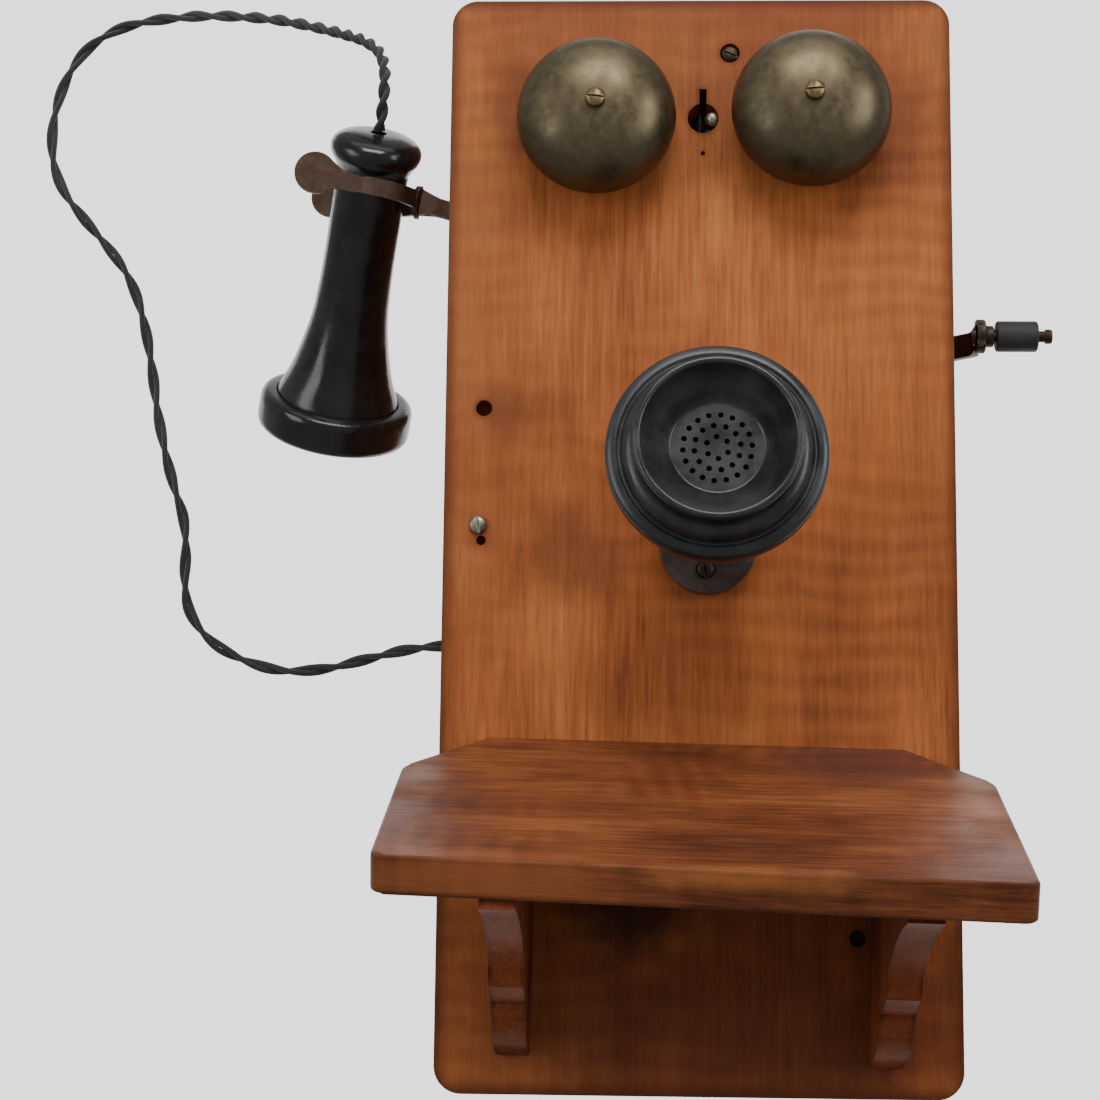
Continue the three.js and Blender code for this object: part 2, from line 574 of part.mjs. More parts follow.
// ---------------------------------------------------------------- hook switch and receiver
// A frame with +X outwards at a slope above the level, +Y up and +Z into the wall.
function outwardFrame(origin, slope) {
  const angle = THREE.MathUtils.degToRad(slope);
  const out = new THREE.Vector3(-Math.cos(angle), 0, Math.sin(angle));
  const up = new THREE.Vector3(Math.sin(angle), 0, Math.cos(angle));
  return new THREE.Matrix4().makeBasis(out, up, new THREE.Vector3(0, 1, 0)).setPosition(origin);
}

// The hook's pivot is at the inner end of its arm, which starts at the back of the bend.
function hookPivot() {
  const root = new THREE.Vector3(-FORK.gap - FORK.strap, 0, 0);
  root.applyMatrix4(outwardFrame(FORK.centre, FORK.slope));
  return new THREE.Vector3(-HOOK_ARM.length, 0, 0).applyMatrix4(outwardFrame(root, HOOK_ARM.slope));
}

// The fork is a strap bent round the receiver, with two flared prongs that end in round lobes.
function hookFork() {
  const { gap, strap, halfHeight, reach, lobe, flare, roll, slope } = FORK;
  const outer = gap + strap;
  const prong = (side) => {
    const inner = side < 0 ? -strap : 0;
    const flat = box(-1, reach, -halfHeight, halfHeight, inner, inner + strap);
    const round = bar('z', lobe, inner, inner + strap, [reach, 1.9], 16);
    const turn = -side * THREE.MathUtils.degToRad(flare);
    return join(flat, round).rotateY(turn).translate(0, 0, side * gap);
  };
  const bend = cut(
    bar('y', outer, -halfHeight, halfHeight, [0, 0], 28),
    bar('y', gap, -halfHeight - 1, halfHeight + 1, [0, 0], 28),
    box(0, 30, -halfHeight - 1, halfHeight + 1, -30, 30),
  );
  // The strap widens to a round patch at the back of the bend, where the arm is riveted on.
  const patch = cut(
    overlap(bar('y', outer, -8, 8, [0, 0], 28), bar('x', 7.3, -outer - 1, -gap / 2, [0, 0], 20)),
    bar('y', gap, -9, 9, [0, 0], 28),
  );
  return join(prong(-1), prong(1), bend, patch)
    .rotateX(-THREE.MathUtils.degToRad(roll))
    .translate(outer, 0, 0)
    .rotateZ(THREE.MathUtils.degToRad(slope - HOOK_ARM.slope))
    .translate(HOOK_ARM.length, 0, 0);
}

function hookLever() {
  const { length, halfHeight, thickness, tail } = HOOK_ARM;
  const half = thickness / 2;
  const arm = box(-tail, length + 1, -halfHeight, halfHeight, -half, half);
  const boss = bar('z', 5, -half, half, [0, 0], 14);
  const bore = bar('z', 1.9, -3, 3, [0, 0], 10);
  const lever = mesh('hook_lever', cut(join(hookFork(), arm, boss), bore), 'copperStrap');
  lever.applyMatrix4(outwardFrame(hookPivot(), HOOK_ARM.slope));
  return lever;
}

// Two cheeks screwed to the side board hold the pivot pin, and lower down the contact spring.
function hookBracket() {
  const { x, y, z } = hookPivot();
  const wall = -INNER + GAP;
  const pin = bar('y', 1.6, y - 6, y + 6, [x, z], 10);
  const cheeks = [-1, 1].flatMap((side) => {
    const inner = y + side * 2;
    const rail = y + side * 4.4;
    return [
      box(wall, x + 5, inner, inner + side * 4, z - 13, z + 7),
      box(wall, x + 30, rail, inner + side * 4, z - 13, z - 9),
    ];
  });
  return mesh('hook_bracket', join(pin, ...cheeks), 'steel');
}

function hookSpring() {
  const { x, y, z } = hookPivot();
  const leaf = box(x + 4, x + 23, y - 1.8, y + 1.8, z - 11.4, z - 10.6);
  const contact = bar('z', 1.5, z - 10.8, z - 9.3, [x + 7.5, y], 10);
  const block = box(x + 21, x + 28, y - 4.1, y + 4.1, z - 14, z + 2);
  return mesh('hook_contact_spring', join(leaf, contact, block), 'agedBrass');
}

// The receiver is drawn from its neck, with +Y up its axis.
function receiver() {
  const shell = turned([
    [3.4, 27.6], [9, 27.2], [14.8, 25.9], [18.4, 23.4], [19.8, 20.3], [19.3, 17.4], [17, 13.8],
    [15.6, 10.6], [15.6, -31], [17.1, -58], [20, -72.5], [22.8, -84], [26.3, -96.5], [27.2, -102.5],
    [24.2, -102.5], [21.7, -91], [15.8, -66], [12.4, -46], [12, 18], [3.4, 22],
  ], 24);
  const cap = turned([
    [27.6, -94.8], [31.6, -95], [33.7, -96.4], [34.3, -99.4], [34.3, -107.6], [33, -110.8],
    [29.6, -111.7], [12, -109], [5.5, -108.6], [5.5, -106], [30.4, -106], [30.4, -102.8], [27.6, -102.7],
  ], 28);
  const magnet = cut(box(-7, 7, -92, -4, -2.5, 2.5), box(-3, 3, -93, -14, -4, 4));
  const holder = group(
    mesh('receiver_shell', shell, 'bakelite'),
    mesh('receiver_ear_cap', cap, 'bakelite'),
    mesh('receiver_magnet', magnet, 'magnetRed'),
  );
  holder.quaternion.setFromUnitVectors(new THREE.Vector3(0, 1, 0), RECEIVER_AXIS);
  holder.position.copy(NECK);
  return holder;
}

// ---------------------------------------------------------------- receiver cord
// From the top of the receiver, over to the left, round a wide loop and into the cabinet.
const CORD_ROUTE = [
  [-137.2, -103.0, 176.0], [-135.4, -108.1, 184.2], [-134.6, -109.5, 193.6], [-135.2, -106, 203.3],
  [-138.5, -99, 212.9], [-146.2, -91, 221], [-157, -81, 228], [-172, -69, 236], [-189, -56, 244],
  [-207, -42, 251], [-227, -28, 257], [-246, -16, 260.5], [-264, -8, 261], [-279, -4, 257],
  [-291, -3.4, 247], [-299, -3.4, 232], [-303, -3.4, 215], [-303, -3.4, 198], [-298, -3.4, 182],
  [-288, -3.4, 168], [-276, -3.4, 154], [-265, -3.4, 139], [-258, -3.4, 122], [-253, -3.4, 101],
  [-249, -3.4, 77], [-245, -3.4, 58], [-240, -3.4, 40], [-235, -3.4, 25], [-233, -3.4, 10],
  [-233, -3.4, -5], [-230, -3.4, -20], [-220, -3.4, -33], [-204, -3.4, -42], [-186, -3.4, -46.5],
  [-167, -4.4, -45.5], [-150, -8, -42], [-135, -14, -39], [-121, -20.5, -37.4], [-110, -23.6, -37],
  [-102.2, -24, -37],
];

function cordAndGrommet() {
  const grommet = turned([
    [3.3, 90], [4.6, 90], [4.6, 99.3], [7, 99.3], [7, 100.6], [5.4, 101.8], [3.3, 101.8],
  ], 16).rotateZ(Math.PI / 2).translate(0, CORD.exitY, CORD.exitZ);
  return group(
    mesh('receiver_cord', tube(CORD_ROUTE, CORD.radius, CORD.sides, CORD.steps), 'cloth'),
    mesh('cord_grommet', grommet, 'bakelite'),
  );
}

// ---------------------------------------------------------------- batteries and coils
function dryCells() {
  const floor = -INNER_TOP + GAP;
  const { radius, height, x, y } = DRY_CELL;
  return [-1, 1].map((side) => {
    const profile = [
      [0, 0], [radius, 0], [radius, height], [10, height], [10, height + 4], [4, height + 4],
      [4, height + 12], [0, height + 12],
    ];
    const cell = turned(profile, 20).rotateX(Math.PI / 2).translate(side * x, y, floor);
    return mesh(`dry_cell_${side < 0 ? 'left' : 'right'}`, cell, 'card');
  });
}

function circuitParts() {
  const back = -CABINET.back - GAP;
  const winding = bar('x', 11, -62, -6, [back - 15, 70], 20);
  const cheeks = [-66, -6].map((x) => box(x, x + 4, back, back - 30, 56, 84));
  const induction = join(winding, ...cheeks);
  const condenser = box(-72, -22, back, back - 18, 38, 52);
  let terminals = box(-60, 4, back, back - 9, 180, 200);
  for (let index = 0; index < 4; index += 1) {
    terminals = join(terminals, bar('y', 3, back - 18, back - 8, [-52 + index * 16, 190], 10));
  }
  return [
    mesh('induction_coil', induction, 'coilPaper'),
    mesh('condenser', condenser, 'steel'),
    mesh('terminal_block', terminals, 'blackIron'),
  ];
}

// ---------------------------------------------------------------- the whole telephone
const telephone = group(
  cabinetBoards(),
  hinges('cabinet'),
  magnetoFixedParts(),
  dryCells(),
  circuitParts(),
  mesh('door_panel', doorPanel(), 'oak'),
  hinges('door'),
  gongs(),
  ringer(),
  clapper(),
  writingShelf(),
  transmitterMount(),
  transmitter(),
  crank(),
  magnetoArmature(),
  hookLever(),
  hookBracket(),
  hookSpring(),
  receiver(),
  cordAndGrommet(),
);

export default telephone;
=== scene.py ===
"""Looks of the wall crank telephone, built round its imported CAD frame.

Metres, +Z up, the wall at y = 0 and the front towards -Y. Helpers take millimetres.
"""

import json
from math import asin, cos, degrees, pi, radians, sin, tan

import bmesh
import bpy
from mathutils import Matrix, Vector


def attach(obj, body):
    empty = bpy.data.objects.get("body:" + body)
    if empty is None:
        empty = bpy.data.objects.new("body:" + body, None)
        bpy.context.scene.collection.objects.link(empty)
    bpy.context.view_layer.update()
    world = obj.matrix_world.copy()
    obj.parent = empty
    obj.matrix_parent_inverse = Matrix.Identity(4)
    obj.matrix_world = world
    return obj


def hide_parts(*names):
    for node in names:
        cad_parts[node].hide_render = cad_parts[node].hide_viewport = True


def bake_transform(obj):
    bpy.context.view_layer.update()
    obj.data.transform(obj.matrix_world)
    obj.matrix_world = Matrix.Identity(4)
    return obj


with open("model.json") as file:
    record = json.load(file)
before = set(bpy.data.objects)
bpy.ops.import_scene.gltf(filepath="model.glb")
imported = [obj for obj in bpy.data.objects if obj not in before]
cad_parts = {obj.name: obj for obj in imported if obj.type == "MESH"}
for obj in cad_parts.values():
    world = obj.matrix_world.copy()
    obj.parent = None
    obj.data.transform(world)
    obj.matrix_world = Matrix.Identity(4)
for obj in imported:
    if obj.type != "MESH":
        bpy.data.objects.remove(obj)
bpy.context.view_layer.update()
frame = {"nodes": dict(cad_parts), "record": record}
SLOT_OF = {part["node"]: part["material_slot"] for part in frame["record"]["subparts"]}
MM = 0.001

# ---- driving dimensions
DOOR_FRONT = -120.0
DOOR_BACK = -102.6
DOOR_HALF = (105.0, 227.5)
DOOR_CORNER = 11.0
FIXED_FACE = DOOR_FRONT - 0.3  # the rear of what is screwed to the door
CASE_HALF = (99.0, 221.5)
CASE_WALL = 12.0
CASE_FRONT = -100.0
GROMMET = (-24.0, -37.0)
HINGE_HEIGHT = 165.0
HINGE_LEAF = 56.0
GONGS = {"left": (-43.3, 171.3), "right": (45.8, 174.4)}
GONG_RIM = -133.5
CLAPPER_HOLE = (1.3, 175.6, 6.5)
CLAPPER_PIVOT = (0.5, -96.0, 175.3)
CLAPPER_BALL = (4.6, -138.0, 168.9)
TOP_SCREW = (12.6, 204.2)
LOCK_SCREW = (-90.7, 1.5)
FOOT_X = 3.5
FOOT_SCREWS = {"lower": (2.5, -17.3), "upper": (2.5, 36.0)}
SHELF = {"slope": 20.0, "roll": 1.2, "rear": -87.4, "thick": 14.5, "half": 114.5}
SHELF_DEPTH = {"right": 167.5, "left": 157.0}
BRACKETS = {"left": -70.9, "right": 76.6}
BRACKET_WIDTH = 13.2
TRANSMITTER_PIVOT = (5.2, -158.2, 13.4)
TRANSMITTER_TILT = 7.0
CRANK = (-52.0, 88.5)
CRANK_PIN = (-92.0, 88.5)
NECK = Vector((-142.5, -88.0, 152.4))
UP = Vector((0.188, -0.528, 0.828)).normalized()
FORK_CENTRE = Vector((-142.4, -87.7, 151.6))
FORK = {
    "slope": 8.0, "roll": 5.0, "flare": 8.5, "gap": 20.7, "strap": 1.8, "half": 3.7, "reach": 21.0,
    "lobe": 8.95, "lobe_up": 1.9,
}
HOOK_ARM = {"slope": 16.0, "length": 44.2, "half": 3.9, "thick": 2.6, "tail": 9.0}
CORD_ON_WALL = [
    (-291, 247), (-299, 232), (-303, 215), (-303, 198), (-298, 182), (-288, 168), (-276, 154),
    (-265, 139), (-258, 122), (-253, 101), (-249, 77), (-245, 58), (-240, 40), (-235, 25),
    (-233, 10), (-233, -5), (-230, -20), (-220, -33), (-204, -42), (-186, -46.5),
]
CORD_ROUTE = [
    (-137.2, -103.0, 176.0), (-135.4, -108.1, 184.2), (-134.6, -109.5, 193.6),
    (-135.2, -106, 203.3), (-138.5, -99, 212.9), (-146.2, -91, 221), (-157, -81, 228),
    (-172, -69, 236), (-189, -56, 244), (-207, -42, 251), (-227, -28, 257), (-246, -16, 260.5),
    (-264, -8, 261), (-279, -4, 257), *((x, -3.4, z) for x, z in CORD_ON_WALL),
    (-167, -4.4, -45.5), (-150, -8, -42), (-135, -14, -39), (-121, -20.5, -37.4),
    (-110, -23.6, -37), (-102.2, -24, -37),
]

# ---- mesh helpers
FACING = Matrix.Rotation(pi / 2, 4, "X")  # local (x, y, depth) to (x, z, -y)
SIDEWAYS = Matrix(((0, 0, 1, 0), (1, 0, 0, 0), (0, 1, 0, 0), (0, 0, 0, 1)))  # (y, z) to the side
ALONG_X = Matrix.Rotation(-pi / 2, 4, "Z")  # local Y to +X
FORWARD = Matrix.Rotation(pi, 4, "X")  # local Y to -Y, out of the door


def at(x, y, z):
    """The matrix of a plain move."""
    return Matrix.Translation((x, y, z))


def metres(place):
    """The matrix with its translation in metres."""
    place = place.copy()
    place.translation = place.translation * MM
    return place


def add(name, mesh, place=None):
    """An object of the mesh; place is its matrix, with its translation in millimetres."""
    piece = bpy.data.objects.new(name, mesh)
    bpy.context.scene.collection.objects.link(piece)
    if place is not None:
        piece.matrix_world = metres(place)
    return piece


def as_mesh(name, shape, angle=35):
    """A mesh of the bmesh, which is freed."""
    mesh = bpy.data.meshes.new(name)
    shape.to_mesh(mesh)
    shape.free()
    soften(mesh, angle)
    return mesh


def soften(mesh, angle):
    """Smooth shading, with the edges sharper than the angle kept crisp."""
    shape = bmesh.new()
    shape.from_mesh(mesh)
    limit = radians(angle)
    for face in shape.faces:
        face.smooth = True
    for edge in shape.edges:
        if len(edge.link_faces) == 2 and edge.calc_face_angle(0) > limit:
            edge.smooth = False
    shape.to_mesh(mesh)
    shape.free()


def make(name, points, faces, place=None, angle=35):
    """A piece from points and faces."""
    mesh = bpy.data.meshes.new(name)
    mesh.from_pydata([Vector(point) * MM for point in points], [], faces)
    mesh.update()
    soften(mesh, angle)
    return add(name, mesh, place)


def anticlockwise(outline):
    area = sum(a[0] * b[1] - b[0] * a[1] for a, b in zip(outline, outline[1:] + outline[:1]))
    return outline[::-1] if area < 0 else outline


def bands(rings):
    """The faces between each ring of point numbers and the next."""
    faces = []
    for low, high in zip(rings, rings[1:]):
        for corners in zip(low, low[1:] + low[:1], high[1:] + high[:1], high):
            face = list(dict.fromkeys(corners))
            if len(face) > 2:
                faces.append(face)
    return faces


def tube_faces(first, rings, sides):
    """The faces of a tube whose rings' points are numbered from first, and of its two ends."""
    starts = range(first, first + rings * sides, sides)
    around = [list(range(start, start + sides)) for start in starts]
    return bands(around) + [around[0][::-1], around[-1]]


def turned(name, profile, place=None, segments=96, angle=35):
    """A piece turned about local Y from (radius, height) points, closed on itself off the axis."""
    profile = anticlockwise(profile)
    points, rings = [], []
    for radius, height in profile:
        if radius < 1e-6:
            rings.append([len(points)] * segments)
            points.append((0, height, 0))
            continue
        rings.append(list(range(len(points), len(points) + segments)))
        for step in range(segments):
            turn = 2 * pi * step / segments
            points.append((radius * sin(turn), height, radius * cos(turn)))
    if profile[0][0] > 1e-6:
        rings.append(rings[0])
    return make(name, points, bands(rings), place, angle)


def spline(points, steps=6):
    """More points along a smooth curve through the points."""
    out = []
    for index, (start, end) in enumerate(zip(points, points[1:])):
        before = points[max(index - 1, 0)]
        beyond = points[min(index + 2, len(points) - 1)]
        for step in range(steps):
            t = step / steps
            out.append(tuple(
                0.5 * (2 * b + (c - a) * t + (2 * a - 5 * b + 4 * c - d) * t * t
                       + (3 * b - a - 3 * c + d) * t ** 3)
                for a, b, c, d in zip(before, start, end, beyond)
            ))
    out.append(tuple(points[-1]))
    return out


def bevelled(shape, edges, width, segments):
    bmesh.ops.bevel(
        shape, geom=edges, offset=width * MM, segments=segments, profile=0.5, affect="EDGES",
    )


def plate(name, outline, depth, place=None, bevel=0.0, segments=3, front_only=False, angle=35):
    """A plate of an (x, y) outline from z = 0 to depth, with its rims bevelled."""
    outline = anticlockwise(outline)
    shape = bmesh.new()
    low = [shape.verts.new((x * MM, y * MM, 0)) for x, y in outline]
    high = [shape.verts.new((x * MM, y * MM, depth * MM)) for x, y in outline]
    shape.faces.new(low[::-1])
    shape.faces.new(high)
    for index in range(len(outline)):
        after = (index + 1) % len(outline)
        shape.faces.new((low[index], low[after], high[after], high[index]))
    if bevel:
        rims = [
            edge for edge in shape.edges
            if all(vertex in high for vertex in edge.verts)
            or (not front_only and all(vertex in low for vertex in edge.verts))
        ]
        bevelled(shape, rims, bevel, segments)
    return even_normals(add(name, as_mesh(name, shape, angle), place))


def baked(piece):
    """Moves the piece's own matrix into its mesh."""
    piece.data.transform(piece.matrix_world)
    piece.matrix_world = Matrix.Identity(4)
    return piece


def even_normals(piece):
    step = piece.modifiers.new("normals", "WEIGHTED_NORMAL")
    step.keep_sharp = True
    return piece


def block(name, x0, x1, y0, y1, z0, z1, bevel=0.0):
    """A box between coordinates, all its edges eased."""
    shape = bmesh.new()
    bmesh.ops.create_cube(shape, size=1)
    for vertex in shape.verts:
        vertex.co = Vector((
            (x1 if vertex.co.x > 0 else x0) * MM,
            (y1 if vertex.co.y > 0 else y0) * MM,
            (z1 if vertex.co.z > 0 else z0) * MM,
        ))
    if bevel:
        bevelled(shape, list(shape.edges), bevel, 2)
    return even_normals(add(name, as_mesh(name, shape)))


def rod(name, axis, radius, start, end, centre, segments=48, ease=0.0):
    """A round bar along x, y or z; centre holds its other two coordinates."""
    profile = [(0, start), (radius - ease, start), (radius, start + ease)]
    profile += [(radius, end - ease), (radius - ease, end), (0, end)]
    turn = {"x": ALONG_X, "y": Matrix.Identity(4), "z": FACING}[axis]
    shift = list(centre)
    shift.insert("xyz".index(axis), 0)
    return turned(name, profile, at(*shift) @ turn, segments)


def boolean(piece, tools, operation="DIFFERENCE", angle=35):
    """The piece cut by the tools, or kept only inside them; the tools are used up."""
    piece.modifiers.clear()
    for tool in tools:
        step = piece.modifiers.new("cut", "BOOLEAN")
        step.operation = operation
        step.solver = "EXACT"
        step.object = tool
    bpy.context.view_layer.update()
    graph = bpy.context.evaluated_depsgraph_get()
    mesh = bpy.data.meshes.new_from_object(piece.evaluated_get(graph))
    piece.modifiers.clear()
    piece.data = mesh
    for tool in tools:
        bpy.data.objects.remove(tool)
    soften(piece.data, angle)
    return even_normals(piece)


def merged(name, pieces):
    """Several pieces as one object, in the frame of the whole model."""
    bpy.context.view_layer.update()
    shape = bmesh.new()
    for piece in pieces:
        part = piece.data.copy()
        part.transform(piece.matrix_world)
        shape.from_mesh(part)
        bpy.data.objects.remove(piece)
    return even_normals(add(name, as_mesh(name, shape)))


def directions(line):
    """The line's tangent at each of its points."""
    last = len(line) - 1
    return [(line[min(k + 1, last)] - line[max(k - 1, 0)]).normalized() for k in range(len(line))]


def swept(name, line, section):
    """A section of (across, up) points carried along a line of millimetre points."""
    line = [Vector(point) for point in line]
    tangents = directions(line)
    normal = tangents[0].orthogonal().normalized()
    points = []
    for index, centre in enumerate(line):
        if index:
            normal = tangents[index - 1].rotation_difference(tangents[index]) @ normal
        across = tangents[index].cross(normal).normalized()
        for u, v in section:
            points.append(centre + normal * u + across * v)
    return make(name, points, tube_faces(0, len(line), len(section)))


def arc(x, y, radius, start, end, steps):
    """Points of a circle's arc between two angles in degrees, both ends included."""
    turns = [radians(start + (end - start) * step / steps) for step in range(steps + 1)]
    return [(x + radius * cos(turn), y + radius * sin(turn)) for turn in turns]


# ---- camera
optics = bpy.data.cameras.new("camera")
optics.lens = 81.6
optics.clip_start = 0.01
camera = add("camera", optics)
camera.matrix_world = Matrix((
    (0.99927, -0.00563, 0.03777, -0.02238),
    (0.03641, -0.15829, -0.98673, -1.12869),
    (0.01153, 0.98738, -0.15797, -0.17026),
    (0, 0, 0, 1),
))
bpy.context.scene.camera = camera


# ---- cord: two twisted strands
def cord_line(step=1.0):
    """The cord's centreline, evenly spaced, in millimetres."""
    dense = [Vector(point) for point in spline(CORD_ROUTE, 16)]
    line, carried = [dense[0]], 0.0
    for start, end in zip(dense, dense[1:]):
        length = (end - start).length
        while carried + length >= step:
            part = (step - carried) / length
            start = start.lerp(end, part)
            line.append(start)
            length = (end - start).length
            carried = 0.0
        carried += length
    if (line[-1] - dense[-1]).length > 0.2:
        line.append(dense[-1])
    return line


def twisted_cord(name, line, strand=1.38, offset=1.34, sides=10):
    """Two round strands wound about the line, with uv along and around each strand."""
    tangents = directions(line)
    normal = Vector((0, 1, 0)).cross(tangents[0]).normalized()
    frames, run, turn = [], 0.0, 0.4
    for index, tangent in enumerate(tangents):
        if index:
            normal = tangents[index - 1].rotation_difference(tangent) @ normal
            run += (line[index] - line[index - 1]).length
            half_twist = 9 + 13 * min(1.0, max(0.0, (run - 70) / 90))
            turn += pi * (line[index] - line[index - 1]).length / half_twist
        frames.append((normal.copy(), tangent.cross(normal).normalized(), turn, run))
    points, faces, uvs = [], [], []
    for strand_index in range(2):
        faces += tube_faces(len(points), len(line), sides)
        centres = []
        for centre, (normal, across, turn, _) in zip(line, frames):
            turn += pi * strand_index
            centres.append(centre + (normal * cos(turn) + across * sin(turn)) * offset)
        for centre, tangent, (normal, _, _, run) in zip(centres, directions(centres), frames):
            side = (normal - tangent * normal.dot(tangent)).normalized()
            up = tangent.cross(side)
            for k in range(sides):
                around = 2 * pi * k / sides
                points.append(centre + (side * cos(around) + up * sin(around)) * strand)
                uvs.append((k / sides, run * MM))
    piece = make(name, points, faces, None, 60)
    layer = piece.data.uv_layers.new(name="cord")
    for polygon in piece.data.polygons:
        values = [uvs[piece.data.loops[k].vertex_index] for k in polygon.loop_indices]
        wraps = max(u for u, _ in values) - min(u for u, _ in values) > 0.5
        for k, (u, v) in zip(polygon.loop_indices, values):
            layer.data[k].uv = (u + 1 if wraps and u < 0.5 else u, v)
    return piece


LINE = cord_line()
receiver_cord = twisted_cord("receiver_cord_twisted", LINE)


# ---- looks
class Look:
    """A material under construction: node() adds a shader node, and set() feeds the shader."""

    def __init__(self, name):
        self.material = bpy.data.materials.new(name)
        self.material.use_nodes = True
        self.tree = self.material.node_tree
        self.tree.nodes.clear()
        output = self.tree.nodes.new("ShaderNodeOutputMaterial")
        self.shader = self.tree.nodes.new("ShaderNodeBsdfPrincipled")
        self.tree.links.new(self.shader.outputs[0], output.inputs[0])
        self.place = self.node("TexCoord").outputs["Object"]

    def node(self, kind, inputs=None, **settings):
        made = self.tree.nodes.new("ShaderNode" + kind)
        for key, value in settings.items():
            setattr(made, key, value)
        for key, value in (inputs or {}).items():
            self.feed(made.inputs[key], value)
        return made

    def feed(self, socket, value):
        if isinstance(value, bpy.types.NodeSocket):
            self.tree.links.new(value, socket)
        elif isinstance(value, tuple) and len(value) < len(socket.default_value):
            socket.default_value = (*value, 1)
        else:
            socket.default_value = value

    def set(self, **values):
        for key, value in values.items():
            words = ["IOR" if word == "ior" else word.capitalize() for word in key.split("_")]
            self.feed(self.shader.inputs[" ".join(words)], value)
        return self.material

    def math(self, operation, a, b=0.0):
        return self.node("Math", {0: a, 1: b}, operation=operation).outputs[0]

    def vector(self, operation, a, b=(0, 0, 0)):
        """The outputs of a sum on vectors, one of them a vector and one a number."""
        return self.node("VectorMath", {0: a, 1: b}, operation=operation).outputs

    def scaled(self, vector, factors):
        return self.vector("MULTIPLY", vector, factors)[0]

    def shifted(self, vector, offsets):
        return self.vector("ADD", vector, offsets)[0]

    def times(self, a, b):
        return self.math("MULTIPLY", a, b)

    def plus(self, a, b):
        return self.math("ADD", a, b)

    def share(self, value, part):
        """The value's distance from its middle of 0.5, times a part."""
        return self.times(self.math("SUBTRACT", value, 0.5), part)

    def noise(self, scale, detail=3.0, rough=0.5, stretch=(1, 1, 1), shift=(0, 0, 0), twist=0.0):
        vector = self.scaled(self.shifted(self.place, shift), stretch)
        return self.node("TexNoise", {
            "Vector": vector, "Scale": scale, "Detail": detail, "Roughness": rough,
            "Distortion": twist,
        }).outputs[0]

    def range(self, value, low, high, to_low=0.0, to_high=1.0):
        """The value from between low and high, eased to between to_low and to_high."""
        return self.node("MapRange", {
            0: value, 1: low, 2: high, 3: to_low, 4: to_high,
        }, interpolation_type="SMOOTHSTEP").outputs[0]

    def mix(self, factor, a, b):
        made = self.node("Mix", data_type="RGBA")
        self.feed(made.inputs[0], factor)
        self.feed(made.inputs[6], a)
        self.feed(made.inputs[7], b)
        return made.outputs[2]

    def ramp(self, value, stops):
        made = self.node("ValToRGB", {0: value})
        while len(made.color_ramp.elements) < len(stops):
            made.color_ramp.elements.new(0.5)
        for element, (position, colour) in zip(made.color_ramp.elements, stops):
            element.position = position
            element.color = (*colour, 1)
        return made.outputs[0]

    def bump(self, height, distance, strength=1.0, normal=None):
        inputs = {"Height": height, "Distance": distance, "Strength": strength}
        if normal is not None:
            inputs["Normal"] = normal
        return self.node("Bump", inputs).outputs[0]

    def edges(self, radius):
        """1 on edges of about this radius in metres, 0 on flat and smooth surfaces."""
        rounded = self.node("Bevel", {"Radius": radius}, samples=4).outputs[0]
        plain = self.node("NewGeometry").outputs["Normal"]
        facing = self.vector("DOT_PRODUCT", rounded, plain)["Value"]
        return self.range(facing, 0.999, 0.9)

    def spot(self, centre, radii, wobble):
        """1 at a centre in millimetres, fading to 0 at the radii; wobble roughens its outline."""
        away = self.shifted(self.place, tuple(-value * MM for value in centre))
        scaled = self.scaled(away, tuple(1 / (value * MM) for value in radii))
        length = self.plus(self.vector("LENGTH", scaled)["Value"], wobble)
        return self.range(length, 0.15, 1.0, 1.0, 0.0)


def srgb(red, green, blue):
    """A linear colour from 0-255 display values."""
    return tuple(
        value / 255 / 12.92 if value / 255 <= 0.04045 else ((value / 255 + 0.055) / 1.055) ** 2.4
        for value in (red, green, blue)
    )


def shades(*colours):
    """The linear colours of dark, middle and light display values."""
    return [srgb(*colour) for colour in colours]


